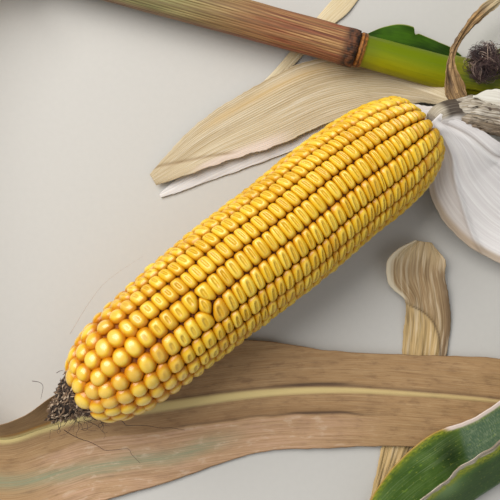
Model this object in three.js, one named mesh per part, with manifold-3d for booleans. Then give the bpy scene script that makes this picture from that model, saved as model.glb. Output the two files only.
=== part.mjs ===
// A cut length of maize stalk lying on the ground: one ripe ear in its peeled husks, a second ear still
// wrapped, one dry leaf and one green leaf. Millimetres, Z up from the ground, X along the stalk's lie.
import * as THREE from 'three';
import { mergeVertices } from 'three/addons/utils/BufferGeometryUtils.js';
import Module from 'manifold-3d';

const wasm = await Module();
wasm.setup();

// Driving dimensions
const GAP = 0.3;
const FOOT = [49.77, -27.4, 0.04];

// Stalk: its two cut ends, its nodes as distances from the upper cut, and its thickness
const STALK_UPPER_CUT = new THREE.Vector3(-125, 129.7, 13.5);
const STALK_LOWER_CUT = new THREE.Vector3(285, 19, 11.5);
const STALK_SIDES = 24;
const STALK_NODES = [
  { at: 177.2, radius: 7.2 },
  { at: 278, radius: 9.2 },
  { at: 374, radius: 10.4 },
];
const STALK_RADIUS_UPPER = 6.6;
const STALK_RADIUS_LOWER = 9.3;
const STALK_RADIUS_ABOVE_NODE = 6.1;
const NODE_HALF_WIDTH = 1.3;
const NODE_SHOULDER = 1.1;
const NODE_STEP = 0.4;

// Ear: rows of kernels on a cob that tapers to a bare tip
const EAR_ROWS = 16;
const EAR_KERNELS = 38;
const EAR_ROW_GROOVE = 1.3;
const EAR_KERNEL_GROOVE = 0.7;
const EAR = [
  [71.8, 50.5, 27.0, 4.0],
  [67.8, 47.4, 27.0, 14.4],
  [61.0, 43.1, 27.0, 19.2],
  [49.7, 35.0, 27.0, 22.2],
  [33.4, 22.8, 27.0, 23.0],
  [13.4, 6.0, 26.9, 23.4],
  [-7.9, -10.3, 26.7, 23.5],
  [-28.2, -26.8, 26.2, 22.9],
  [-45.8, -41.5, 25.4, 21.6],
  [-58.5, -52.1, 24.4, 18.6],
  [-67.0, -58.8, 23.4, 11.2],
  [-70.4, -61.9, 22.8, 5.0],
];
const EAR_TIP = [
  [-69.2, -57.9, 22.4, 9.2],
  [-71.5, -60.0, 22.0, 7.8],
  [-74.6, -62.9, 21.0, 6.2],
  [-78.2, -66.1, 19.6, 4.1],
  [-82.4, -69.5, 18.4, 1.4],
];
const EAR_SECOND = [
  [94.0, 74.6, 28.0, 2.6],
  [102.2, 76.6, 26.4, 5.6],
  [121.3, 80.2, 24.0, 9.4],
  [146.9, 80.4, 20.4, 13.0],
  [172.0, 75.4, 18.2, 14.6],
  [196.0, 68.8, 17.2, 12.8],
  [212.0, 64.2, 16.6, 9.6],
  [219.0, 62.0, 16.2, 7.0],
];
const SILK_TUFT = { centre: [93.0, 74.2, 28.0], radius: 7.3, rough: 0.9 };

// Shanks, from the foot of each ear into its node on the stalk
const SHANK = [
  [72.4, 50.95, 27.0, 3.6],
  [75.6, 53.0, 26.2, 5.0],
  [80.5, 54.7, 25.3, 5.3],
  [87.0, 55.0, 24.8, 5.3],
  [94.0, 53.8, 24.4, 5.4],
  [106.0, 51.8, 23.2, 5.4],
  [120.0, 51.6, 20.6, 5.4],
  [133.0, 55.4, 15.8, 5.6],
  [142.0, 57.8, 12.4, 5.6],
];
const SHANK_SECOND = [
  [219.6, 61.8, 16.2, 6.6],
  [226.0, 58.4, 15.4, 6.2],
  [232.4, 51.6, 14.0, 5.8],
  [236.6, 42.0, 12.6, 5.8],
  [238.0, 33.0, 11.8, 5.8],
];
const SHANK_SIDES = 12;
const COLLAR = { from: 0.3, to: 0.66, wall: 1.1 };

// Leaf sheaths: distances from the upper cut, the opening that the margins leave, and its direction,
// in degrees from the top of the stalk towards the side of the ripe ear
const SHEATH_UPPER = { from: 30, to: 174.6, bore: 0.35, wall: 1.05, open: [16, 16], open_at: [165, 165] };
const SHEATH_EAR = { from: 214, to: 273, bore: 0.3, wall: 0.95, open: [24, 96], open_at: [64, 58] };
const SHEATH_LOWER = { from: 398, to: 424.6, bore: 0.3, wall: 1.2, open: [30, 30], open_at: [-160, -160] };

// Leaves and husks. Each row is a station on the midrib: x, y, z, the width to the left and to the right
// of it, and how far each side lifts from level, in degrees.
const LEAF_DRY = {
  thick: 2.1,
  rows: [
    [-93, 111.3, 13, 8, 8, 90, -84],
    [-120, 113.5, 17, 15, 14, 86, -86],
    [-147, 99, 21, 20, 18, 84, -84],
    [-163, 68, 24, 24, 22, 82, -80],
    [-170, 30, 24.6, 26, 25, 80, -70],
    [-166, -12, 20.4, 27, 29, 78, -40],
    [-148, -50, 11, 27, 33, 76, -14],
    [-128, -72, 6, 25, 37, 74, -5],
    [-107.9, -81.2, 3.2, 21.5, 39.7, 60, -1],
    [-88.9, -76.6, 2.3, 21.3, 40.5, 62, 0],
    [-71.6, -71.8, 1.9, 18.6, 38.5, 35, 0],
    [-43.4, -68.5, 1.7, 22.6, 33.8, 5, 0],
    [0, -62.5, 1.7, 23.9, 26, 3, 0],
    [34.5, -60.4, 3, 17.3, 25.5, 2, 0],
    [68.4, -61.8, 3.5, 16.8, 23.2, 0, 0],
    [107.8, -65.3, 3.4, 18.5, 22.4, 0, 0],
    [142.8, -71.8, 2.4, 15.6, 18.2, 2, 0],
    [173.3, -81, 2, 9.5, 11.3, 3, 0],
    [195, -90.2, 1.8, 1.1, 1.1, 0, 0],
  ],
  cuts: [0, 0.17, 0.36, 0.62, 1],
  steps: [11, 11, 15, 20],
  across: 4,
};
const LEAF_GREEN = {
  thick: 1.7,
  rows: [
    [262, 12.4, 12.5, 9, 9, 84, -76],
    [238, 5.5, 13, 15, 15, 100, -30],
    [211.5, -14, 9.4, 22, 22, 114, -8],
    [180, -43, 7.2, 28, 26, 130, 0],
    [146, -70.5, 7, 32, 28.5, 139, 0],
    [113.3, -94.9, 7.1, 32, 29.5, 140, 0],
    [94.3, -107.4, 7.1, 31.5, 33.5, 140, -1],
    [76.5, -121.6, 5.4, 28, 29.6, 136, 0],
    [63, -143, 3.6, 20, 20, 110, 3],
    [56, -168, 2.6, 11, 11, 50, 4],
    [53, -190.7, 1.8, 1.1, 1.1, 10, 4],
  ],
  cuts: [0, 0.5, 1],
  steps: [14, 16],
  across: 4,
};
const HUSK_TAN = {
  thick: 1.6,
  rows: [
    [83.6, 59.4, 21.8, 2.5, 2.5, 0, 0],
    [78.2, 64.2, 13.6, 4.6, 5, -46, 10],
    [67, 69.6, 6.6, 8.4, 9, -16, 6],
    [52.9, 71.9, 3.7, 11.3, 11.7, 0, 0],
    [30.3, 68, 3.2, 13.9, 14.7, 0, 0],
    [6.1, 56.7, 3.2, 13.4, 14.3, 4, 2],
    [-14.3, 46.3, 3.3, 9.5, 12.1, 8, 3],
    [-29.4, 37.2, 3.1, 6.1, 8.2, 10, 4],
    [-41.6, 29.9, 2.8, 2.6, 3.5, 0, 0],
  ],
  steps: 22,
  across: 4,
};
const HUSK_INNER = {
  thick: 1.4,
  rows: [
    [78, 55.6, 20.6, 2.4, 2.4, 0, 0],
    [72.5, 57.4, 11.4, 4, 3.6, 0, 0],
    [62, 58.6, 3.4, 6.2, 5.6, 0, 0],
    [47.8, 58.3, 1, 7.8, 7, 0, 0],
    [26.1, 53.9, 0.8, 7.8, 8.7, 0, 0],
    [5.2, 45.2, 0.8, 7, 7.8, 0, 0],
    [-15.2, 36.1, 0.9, 5.2, 6.1, 0, 0],
    [-30.4, 27.8, 1, 2.6, 3.5, 0, 0],
    [-39, 23.4, 1, 1, 1.3, 0, 0],
  ],
  steps: 18,
  across: 2,
};
const HUSK_WHITE = {
  thick: 1.4,
  rows: [
    [72.6, 51.6, 31.4, 2.8, 3.6, -6, -10],
    [83.2, 40.8, 26, 11.4, 14, 4, -26],
    [92.2, 28, 18, 21, 19.3, 4, -10],
    [107.1, 15.1, 11.5, 27, 19.7, 4, -4],
    [127.4, 5.9, 8.5, 23.8, 17, 6, 2],
    [148.5, 0, 7, 15.4, 10.2, 8, 6],
    [165, -2.4, 6, 1.3, 1.3, 0, 0],
  ],
  steps: 18,
  across: 4,
};
const LEAF_STRIP = {
  thick: 1.5,
  rows: [
    [75, 3.6, 3.2, 3.6, 4.6, 0, 6],
    [74, -3.4, 2.8, 10.2, 14.6, 10, 12],
    [73.6, -10.4, 2.2, 10.6, 16.2, 10, 12],
    [75.5, -20.6, 1.7, 10.4, 9.2, 8, 6],
    [76.8, -34.7, 1, 10.4, 10.4, 0, 0],
    [73.4, -56.5, 1, 8.7, 8.7, 0, 0],
    [66, -78.2, 1, 7.4, 7.4, 0, 0],
    [60, -99.9, 0.8, 6.1, 6.1, 0, 0],
    [52.1, -126, 0.8, 3.5, 3.9, 0, 0],
    [44.3, -147.7, 0.8, 0.8, 0.8, 0, 0],
  ],
  steps: 20,
  across: 2,
};
const HUSK_RIBBON = {
  thick: 0.9,
  rows: [
    [-6, 62.6, 1.5, 1.2, 1.2, 0, 0],
    [5.2, 69.6, 1.5, 2.2, 2.2, 0, 0],
    [15.2, 79.8, 1, 2.4, 2.4, 0, 0],
    [31.3, 98.2, 0.8, 3.5, 3.5, 0, 0],
    [40.8, 107.6, 0.8, 4.3, 4.3, 0, 0],
    [53, 120.7, 0.8, 1.2, 1.2, 0, 0],
  ],
  steps: 12,
  across: 2,
};
const HUSK_CURL = {
  thick: 0.9,
  rows: [
    [84.2, 58.6, 26.4, 3.4, 3.4, 0, 0],
    [81.7, 63.4, 27.4, 4.7, 4.3, -10, -10],
    [80.1, 69, 27.6, 3.2, 3, 0, 20],
    [80.1, 75.6, 26.5, 2, 1.6, 30, 30],
    [83, 83.4, 25, 1.6, 1.6, 40, 0],
    [89.1, 91.2, 24, 2, 2, 10, -20],
    [96.8, 98.4, 22, 2.8, 2.4, -20, -10],
    [107.9, 106.3, 19, 1, 1, 0, 0],
  ],
  steps: 18,
  across: 2,
};
const HUSK_CREAM = {
  thick: 0.9,
  rows: [
    [87.5, 60.2, 30.4, 2, 2, -14, 14],
    [95, 60, 29.6, 3.6, 3, -14, 16],
    [104, 58.4, 28.6, 4.4, 3.6, -14, 18],
    [114, 57, 27, 3.6, 3, -14, 18],
    [126, 58, 24, 1.2, 1.2, 0, 0],
  ],
  steps: 10,
  across: 2,
};
const SHEATH_FLAP = {
  thick: 0.9,
  rows: [
    [88.5, 79.6, 7.2, 2, 3.6, 0, 0],
    [81.5, 83.2, 7.4, 2.4, 5.2, 0, 0],
    [74.6, 86.4, 7.2, 4.4, 5.8, 0, 0],
    [65, 89.2, 7, 8.4, 6.8, 0, 0],
    [57.4, 90.4, 6.8, 6.2, 5, 0, 0],
    [49.4, 90.8, 6.6, 1, 1.2, 0, 0],
  ],
  steps: 12,
  across: 2,
};

const UP = new THREE.Vector3(0, 0, 1);
const WHOLE = [0, 1];
// Steps for reading directions off the curves: along a limb or midrib, and across a blade
const NUDGE = 1e-3;
const MARGIN_REACH = 0.1;

const plant = new THREE.Group();
plant.position.set(-FOOT[0], -FOOT[1], -FOOT[2]);

// Reads one column of a station table as a smooth curve; t runs from 0 at the first row to 1 at the last
function follow(rows, column, t) {
  const at = t * (rows.length - 1);
  const i = Math.min(Math.max(Math.floor(at), 0), rows.length - 2);
  const f = at - i;
  const b = rows[i][column];
  const c = rows[i + 1][column];
  const a = i > 0 ? rows[i - 1][column] : 2 * b - c;
  const d = i < rows.length - 2 ? rows[i + 2][column] : 2 * c - b;
  return b + 0.5 * f * (c - a + f * (2 * a - 5 * b + 4 * c - d + f * (3 * (b - c) + d - a)));
}

function midrib(rows, t) {
  return new THREE.Vector3(follow(rows, 0, t), follow(rows, 1, t), follow(rows, 2, t));
}

// Moves each point of a unit shape to its place on the plant
function shaped(unit, place) {
  unit.deleteAttribute('normal');
  unit.deleteAttribute('uv');
  const shape = mergeVertices(unit, 1e-5);
  const position = shape.attributes.position;
  const point = new THREE.Vector3();
  for (let i = 0; i < position.count; i += 1) {
    point.fromBufferAttribute(position, i);
    const moved = place(point);
    position.setXYZ(i, moved.x, moved.y, moved.z);
  }
  return shape;
}

function toSolid(geometry) {
  const mesh = new wasm.Mesh({
    numProp: 3,
    vertProperties: new Float32Array(geometry.attributes.position.array),
    triVerts: new Uint32Array(geometry.index.array),
  });
  return new wasm.Manifold(mesh);
}

function toGeometry(solid) {
  const mesh = solid.getMesh();
  const geometry = new THREE.BufferGeometry();
  geometry.setAttribute('position', new THREE.BufferAttribute(mesh.vertProperties, 3));
  geometry.setIndex(new THREE.BufferAttribute(mesh.triVerts, 1));
  return geometry;
}

// Cuts a piece back from its neighbours and keeps its largest part
function cutClear(geometry, neighbours) {
  let solid = toSolid(geometry);
  for (const neighbour of neighbours) {
    solid = solid.subtract(neighbour);
  }
  const parts = solid.decompose();
  parts.sort((one, other) => other.volume() - one.volume());
  return toGeometry(parts[0]);
}

// A point of a unit cylinder set on a limb, whose stations are x, y, z, radius
function limbPoint(rows, t, point, grow) {
  const along = midrib(rows, t + NUDGE).sub(midrib(rows, t - NUDGE)).normalize();
  const side = new THREE.Vector3().crossVectors(along, UP).normalize();
  const top = new THREE.Vector3().crossVectors(side, along);
  const radius = follow(rows, 3, t) + grow;
  const place = midrib(rows, t);
  place.addScaledVector(side, point.x * radius);
  return place.addScaledVector(top, point.z * radius);
}

function limb(rows, sides, steps, grow = 0, range = WHOLE) {
  return shaped(new THREE.CylinderGeometry(1, 1, 1, sides, steps), (point) => {
    const t = THREE.MathUtils.lerp(range[0], range[1], point.y + 0.5);
    return limbPoint(rows, t, point, grow);
  });
}

// A point on a leaf's middle surface; s runs from -1 at its left margin to 1 at its right margin
function bladePoint(rows, t, s, grow = 0) {
  const along = midrib(rows, t + NUDGE).sub(midrib(rows, t - NUDGE));
  const left = new THREE.Vector3(-along.y, along.x, 0).normalize();
  const side = s < 0 ? 0 : 1;
  const reach = s * (follow(rows, 3 + side, t) + grow);
  const lift = THREE.MathUtils.degToRad(follow(rows, 5 + side, t));
  const place = midrib(rows, t);
  place.addScaledVector(left, -reach * Math.cos(lift));
  place.z += Math.abs(reach) * Math.sin(lift);
  return place;
}

// A leaf or husk, or a stretch of one, as a thin body round its middle surface
function blade(leaf, steps, grow = 0, range = WHOLE) {
  return shaped(new THREE.BoxGeometry(1, 1, 1, leaf.across, steps, 1), (point) => {
    const t = THREE.MathUtils.lerp(range[0], range[1], point.y + 0.5);
    const s = point.x * 2;
    const along = bladePoint(leaf.rows, t + NUDGE, s).sub(bladePoint(leaf.rows, t - NUDGE, s));
    const inside = Math.max(s - MARGIN_REACH, -1);
    const outside = Math.min(s + MARGIN_REACH, 1);
    const across = bladePoint(leaf.rows, t, outside).sub(bladePoint(leaf.rows, t, inside));
    const normal = new THREE.Vector3().crossVectors(across, along).normalize();
    const place = bladePoint(leaf.rows, t, s, grow);
    return place.addScaledVector(normal, point.z * (leaf.thick + 2 * grow));
  });
}

// The stretches of a long leaf, with the gap of touching pieces between them
function bladeParts(leaf) {
  const length = new THREE.CatmullRomCurve3(leaf.rows.map((row) => new THREE.Vector3(...row))).getLength();
  const half = GAP / length / 2;
  return leaf.steps.map((steps, i) => {
    const start = leaf.cuts[i] + (i > 0 ? half : 0);
    const end = leaf.cuts[i + 1] - (i < leaf.steps.length - 1 ? half : 0);
    return blade(leaf, steps, 0, [start, end]);
  });
}

// Stalk radius at a distance from the upper cut, with a shoulder and a ring at each node
const STALK_LENGTH = STALK_UPPER_CUT.distanceTo(STALK_LOWER_CUT);
const STALK_ALONG = STALK_LOWER_CUT.clone().sub(STALK_UPPER_CUT).normalize();
const STALK_SIDE = new THREE.Vector3().crossVectors(STALK_ALONG, UP).normalize();
const STALK_TOP = new THREE.Vector3().crossVectors(STALK_SIDE, STALK_ALONG);

function stalkTaper(at) {
  const first = STALK_NODES[0].at;
  if (at < first) {
    return THREE.MathUtils.mapLinear(at, 0, first, STALK_RADIUS_UPPER, STALK_RADIUS_ABOVE_NODE);
  }
  const below = STALK_RADIUS_ABOVE_NODE + NODE_STEP;
  return THREE.MathUtils.mapLinear(at, first, STALK_LENGTH, below, STALK_RADIUS_LOWER);
}

function stalkProfile(grow) {
  const profile = [new THREE.Vector2(0, 0), new THREE.Vector2(stalkTaper(0) + grow, 0)];
  for (const node of STALK_NODES) {
    const ring = NODE_HALF_WIDTH + grow;
    const foot = ring + NODE_SHOULDER;
    profile.push(new THREE.Vector2(stalkTaper(node.at - foot) + grow, node.at - foot));
    profile.push(new THREE.Vector2(node.radius + grow, node.at - ring));
    profile.push(new THREE.Vector2(node.radius + grow, node.at + ring));
    profile.push(new THREE.Vector2(stalkTaper(node.at + foot) + grow, node.at + foot));
  }
  profile.push(new THREE.Vector2(stalkTaper(STALK_LENGTH) + grow, STALK_LENGTH));
  profile.push(new THREE.Vector2(0, STALK_LENGTH));
  return profile;
}

function stalkGeometry(grow = 0) {
  const unit = new THREE.LatheGeometry(stalkProfile(grow), STALK_SIDES);
  return shaped(unit, (point) => onStalk(point.y, point.x, point.z));
}

function onStalk(at, side, top) {
  const place = STALK_UPPER_CUT.clone().addScaledVector(STALK_ALONG, at);
  place.addScaledVector(STALK_SIDE, side);
  return place.addScaledVector(STALK_TOP, top);
}

// A leaf sheath: a tube round the stalk whose two margins leave an opening
function sheath(size, around, steps, grow = 0) {
  return shaped(new THREE.BoxGeometry(1, 1, 1, around, steps, 1), (point) => {
    const f = point.y + 0.5;
    const at = THREE.MathUtils.lerp(size.from - grow, size.to + grow, f);
    const margins = THREE.MathUtils.radToDeg((2 * grow) / stalkTaper(at));
    const open = THREE.MathUtils.lerp(size.open[0], size.open[1], f) - margins;
    const middle = THREE.MathUtils.lerp(size.open_at[0], size.open_at[1], f);
    const angle = THREE.MathUtils.degToRad(middle + open / 2 + (point.x + 0.5) * (360 - open));
    const inner = stalkTaper(at) + size.bore - grow;
    const radius = inner + (point.z + 0.5) * (size.wall + 2 * grow);
    return onStalk(at, radius * Math.sin(angle), radius * Math.cos(angle));
  });
}

// The ripe ear, with a ridge for each row and a swelling for each kernel
function earGeometry() {
  const around = 2 * EAR_ROWS;
  const along = 2 * EAR_KERNELS;
  const unit = new THREE.CylinderGeometry(1, 1, 1, around, along);
  return shaped(unit, (point) => {
    const turn = Math.atan2(point.x, point.z) / (2 * Math.PI);
    const column = Math.round(turn * around + around) % 2;
    const ring = Math.round((point.y + 0.5) * along) % 2;
    const isCap = Math.hypot(point.x, point.z) < 0.5;
    const groove = isCap ? 0 : column * EAR_ROW_GROOVE + (1 - ring) * EAR_KERNEL_GROOVE;
    return limbPoint(EAR, point.y + 0.5, point, -groove);
  });
}

// A tuft of dried silk: a rough ball
function silkTuft(tuft) {
  const centre = new THREE.Vector3(...tuft.centre);
  return shaped(new THREE.IcosahedronGeometry(1, 2), (point) => {
    const bump = Math.sin(point.x * 7 + 1) * Math.sin(point.y * 8 + 2) * Math.sin(point.z * 6 + 3);
    return point.clone().multiplyScalar(tuft.radius + tuft.rough * bump).add(centre);
  });
}

function add(name, geometry, color, roughness) {
  geometry.computeVertexNormals();
  const material = new THREE.MeshStandardMaterial({ color, roughness, metalness: 0 });
  const mesh = new THREE.Mesh(geometry, material);
  mesh.name = name;
  plant.add(mesh);
}

// Neighbours, grown by the gap, that the pieces beside them are cut back from
const BEYOND = [-0.015, 1.015];
const JUST_BEYOND = [-0.004, 1.004];
const nearStalk = toSolid(stalkGeometry(GAP));
const nearSheathEar = toSolid(sheath(SHEATH_EAR, 16, 4, GAP));
const nearEar = toSolid(limb(EAR, 24, 24, 2 * GAP, JUST_BEYOND));
const nearShank = toSolid(limb(SHANK, SHANK_SIDES, 16, GAP, BEYOND));
const aroundCollar = [COLLAR.from - 0.006, COLLAR.to + 0.006];
const nearCollar = toSolid(limb(SHANK, SHANK_SIDES, 8, COLLAR.wall + 2 * GAP, aroundCollar));
const nearSecond = toSolid(limb(EAR_SECOND, 18, 18, GAP, BEYOND));
const nearTan = toSolid(blade(HUSK_TAN, HUSK_TAN.steps, GAP));
const nearWhite = toSolid(blade(HUSK_WHITE, HUSK_WHITE.steps, GAP));

// Stalk and leaf sheaths
add('stalk', stalkGeometry(), 0x75681f, 0.55);
add('sheath_upper', sheath(SHEATH_UPPER, 20, 4), 0x8a6c4b, 0.8);
add('sheath_ear', cutClear(sheath(SHEATH_EAR, 16, 4), [nearShank]), 0x5f6b1c, 0.6);
add('sheath_lower', sheath(SHEATH_LOWER, 20, 2), 0x66701f, 0.6);
const flap = blade(SHEATH_FLAP, SHEATH_FLAP.steps);
add('sheath_flap', cutClear(flap, [nearStalk, nearSheathEar]), 0x2c3d0b, 0.6);

// Leaves
bladeParts(LEAF_DRY).forEach((part, i) => {
  add(`leaf_dry_${i + 1}`, cutClear(part, [nearEar]), 0xb19165, 0.85);
});
add('leaf_strip', blade(LEAF_STRIP, LEAF_STRIP.steps), 0xa8916f, 0.8);
bladeParts(LEAF_GREEN).forEach((part, i) => add(`leaf_green_${i + 1}`, part, 0x5a6a46, 0.5));

// Ripe ear on its shank
add('ear', earGeometry(), 0xdfbd40, 0.4);
add('ear_tip', cutClear(limb(EAR_TIP, 14, 8), [nearEar]), 0x5e4d3d, 0.95);
add('shank', cutClear(limb(SHANK, SHANK_SIDES, 16), [nearStalk, nearEar]), 0xa8a06a, 0.7);
const collarTube = limb(SHANK, SHANK_SIDES, 8, GAP + COLLAR.wall, [COLLAR.from, COLLAR.to]);
add('husk_collar', cutClear(collarTube, [nearShank, nearSheathEar]), 0x5f4f3e, 0.9);

// Husks, peeled back from the ripe ear
const tan = blade(HUSK_TAN, HUSK_TAN.steps);
const tanNeighbours = [nearShank, nearStalk, nearSheathEar, nearEar, nearCollar];
add('husk_tan', cutClear(tan, tanNeighbours), 0xbba781, 0.8);
const inner = blade(HUSK_INNER, HUSK_INNER.steps);
add('husk_inner', cutClear(inner, [nearShank, nearEar, nearTan]), 0xcdcacb, 0.75);
const white = blade(HUSK_WHITE, HUSK_WHITE.steps);
add('husk_white', cutClear(white, [nearShank, nearEar, nearCollar]), 0xd2d1d6, 0.75);
const ribbon = blade(HUSK_RIBBON, HUSK_RIBBON.steps);
add('husk_ribbon', cutClear(ribbon, [nearTan]), 0xc8af7f, 0.8);
const curl = blade(HUSK_CURL, HUSK_CURL.steps);
const curlNeighbours = [nearShank, nearStalk, nearSheathEar, nearCollar, nearTan];
add('husk_curl', cutClear(curl, curlNeighbours), 0x745734, 0.85);
const cream = blade(HUSK_CREAM, HUSK_CREAM.steps);
add('husk_cream', cutClear(cream, [nearShank, nearSheathEar, nearCollar, nearWhite]), 0xc8c1b6, 0.8);

// Second ear, still wrapped, with its silk
add('ear_second', limb(EAR_SECOND, 18, 18), 0x8f9a5a, 0.7);
const tuft = silkTuft(SILK_TUFT);
add('silk_second', cutClear(tuft, [nearSecond, nearStalk, nearSheathEar]), 0x503f37, 0.95);
const shankSecond = limb(SHANK_SECOND, SHANK_SIDES, 10);
add('shank_second', cutClear(shankSecond, [nearStalk, nearSecond]), 0x8f9a5a, 0.7);

export default plant;
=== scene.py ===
"""A cut length of maize stalk with a ripe ear, its husks and leaves, on a pale floor.

Stations and sizes are in millimetres on the plant, Z up from the ground. ORIGIN is the point of the plant
where the model's own frame has its origin.
"""

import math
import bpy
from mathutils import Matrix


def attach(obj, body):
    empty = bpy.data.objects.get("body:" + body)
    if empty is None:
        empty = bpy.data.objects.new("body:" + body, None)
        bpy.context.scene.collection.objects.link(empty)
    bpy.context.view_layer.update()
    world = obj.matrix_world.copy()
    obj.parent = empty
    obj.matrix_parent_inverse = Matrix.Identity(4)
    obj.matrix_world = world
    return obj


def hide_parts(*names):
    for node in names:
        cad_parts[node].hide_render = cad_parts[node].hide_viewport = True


bl_info = {
    "name": "Maize stalk with ripe ear",
    "version": (1, 0, 0),
    "blender": (4, 5, 0),
    "location": "View3D > Sidebar > Maize",
    "description": "Makes a cut maize stalk with its ears, husks and leaves, and the stage it lies on",
    "category": "Object",
}

import bpy
import numpy as np
from mathutils import Vector
from bpy.props import FloatProperty, FloatVectorProperty, IntProperty, PointerProperty

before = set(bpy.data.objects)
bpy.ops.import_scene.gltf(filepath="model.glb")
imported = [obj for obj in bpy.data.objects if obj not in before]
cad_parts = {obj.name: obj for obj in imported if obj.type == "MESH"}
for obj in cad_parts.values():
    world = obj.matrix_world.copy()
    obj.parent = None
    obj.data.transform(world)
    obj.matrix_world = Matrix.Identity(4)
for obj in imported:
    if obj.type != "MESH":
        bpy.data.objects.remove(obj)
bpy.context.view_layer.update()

MM = 0.001
ORIGIN = np.array([49.77, -27.4, 0.04])
UP = np.array([0.0, 0.0, 1.0])
NUDGE = 1e-3
TURN = 2 * math.pi


# --- Stations ---

# Stalk: its cut ends, its nodes as (distance from the upper cut, radius), and its thickness
STALK_UPPER_CUT = np.array([-125.0, 129.7, 13.5])
STALK_LOWER_CUT = np.array([285.0, 19.0, 11.5])
STALK_NODES = [(177.2, 7.2), (278.0, 9.2), (374.0, 10.4)]
STALK_RADII = {"upper": 6.6, "above_node": 6.1, "below_node": 6.5, "lower": 9.3}

# Limbs: x, y, z, radius
EAR = [
    [71.8, 50.5, 27, 4], [67.8, 47.4, 27, 14.4], [61, 43.1, 27, 19.2], [49.7, 35, 27, 22.2],
    [33.4, 22.8, 27, 23], [13.4, 6, 26.9, 23.4], [-7.9, -10.3, 26.7, 23.5], [-28.2, -26.8, 26.2, 22.9],
    [-45.8, -41.5, 25.4, 21.6], [-58.5, -52.1, 24.4, 18.6], [-67, -58.8, 23.4, 11.2],
    [-70.4, -61.9, 22.8, 5],
]
EAR_TIP = [
    [-69.2, -57.9, 22.4, 9.2], [-71.5, -60, 22, 7.8], [-74.6, -62.9, 21, 6.2], [-78.2, -66.1, 19.6, 4.1],
    [-82.4, -69.5, 18.4, 1.4],
]
EAR_SECOND = [
    [94, 74.6, 28, 2.6], [102.2, 76.6, 26.4, 5.6], [121.3, 80.2, 24, 9.4], [146.9, 80.4, 20.4, 13],
    [172, 75.4, 18.2, 14.6], [196, 68.8, 17.2, 12.8], [212, 64.2, 16.6, 9.6], [219, 62, 16.2, 7],
]
SHANK = [
    [72.4, 50.95, 27, 3.6], [75.6, 53, 26.2, 5], [80.5, 54.7, 25.3, 5.3], [87, 55, 24.8, 5.3],
    [94, 53.8, 24.4, 5.4], [106, 51.8, 23.2, 5.4], [120, 51.6, 20.6, 5.4], [133, 55.4, 15.8, 5.6],
    [142, 57.8, 12.4, 5.6],
]
SHANK_SECOND = [
    [219.6, 61.8, 16.2, 6.6], [226, 58.4, 15.4, 6.2], [232.4, 51.6, 14, 5.8], [236.6, 42, 12.6, 5.8],
    [238, 33, 11.8, 5.8],
]
SILK_TUFT = {"centre": [93.0, 74.2, 28.0], "radius": 7.6}
# Loose silks at the tip of the ripe ear: x, y, z along each
TIP_SILKS = [
    [[-77.1, -74.6, 15], [-74.5, -77.5, 12], [-71.1, -80.2, 9], [-68.3, -81.9, 6.5], [-65, -84.2, 5],
     [-62.5, -86, 4.2], [-58.1, -86.1, 3.8], [-52.6, -85.7, 3.6], [-50.8, -88.3, 3.6],
     [-47.4, -91.8, 3.6]],
    [[-65.6, -65.1, 27], [-66.8, -68.3, 23], [-65.4, -70.3, 19], [-63.6, -72.3, 16], [-61.9, -73.5, 15],
     [-59.3, -69.9, 18], [-57.3, -67.4, 22], [-53.8, -67.2, 24]],
    [[-52, -67.8, 24], [-51.3, -71.4, 18], [-51.2, -72.9, 14], [-44.6, -74.5, 8], [-38.6, -76.3, 5],
     [-34, -76.6, 3.8], [-28, -77.6, 3.6]],
    [[-70.8, -75.2, 12], [-66.5, -73.7, 14], [-64, -71.1, 18]],
    [[-78.7, -71.4, 18], [-79.2, -73.8, 15], [-78.9, -76, 13]],
    [[-90, -54.1, 16], [-86.6, -54.5, 17], [-84.9, -56.2, 18], [-85.8, -61.1, 18]],
    [[-77.4, -49.2, 25], [-75.7, -48.2, 26], [-74.4, -48.1, 26]],
    [[-75.7, -53.2, 27], [-72.7, -48.8, 29], [-73, -46.4, 29]],
    [[-71.5, -33.4, 27], [-63, -20.7, 31], [-55.2, -11.7, 33], [-41.4, -2.3, 34]],
]

# Leaves and husks: x, y, z of the midrib, the width to its left and right, and how far each side lifts, in
# degrees
LEAF_DRY = [
    [-93, 111.3, 13, 8, 8, 90, -84], [-120, 113.5, 17, 15, 14, 86, -86], [-147, 99, 21, 20, 18, 84, -84],
    [-163, 68, 24, 24, 22, 82, -80], [-170, 30, 24.6, 26, 25, 80, -70],
    [-166, -12, 20.4, 27, 29, 78, -40], [-148, -50, 11, 27, 33, 76, -14], [-128, -72, 6, 25, 37, 74, -5],
    [-107.9, -81.2, 3.2, 21.5, 39.7, 60, -1], [-88.9, -76.6, 2.3, 21.3, 40.5, 62, 0],
    [-71.6, -71.8, 1.9, 18.6, 38.5, 35, 0], [-43.4, -68.5, 1.7, 22.6, 33.8, 5, 0],
    [0, -62.5, 1.7, 23.9, 26, 3, 0], [34.5, -60.4, 3, 17.3, 25.5, 2, 0],
    [68.4, -61.8, 3.5, 16.8, 23.2, 0, 0], [107.8, -65.3, 3.4, 18.5, 22.4, 0, 0],
    [142.8, -71.8, 2.4, 15.6, 18.2, 2, 0], [173.3, -81, 2, 9.5, 11.3, 3, 0],
    [195, -90.2, 1.8, 1.1, 1.1, 0, 0],
]
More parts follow.
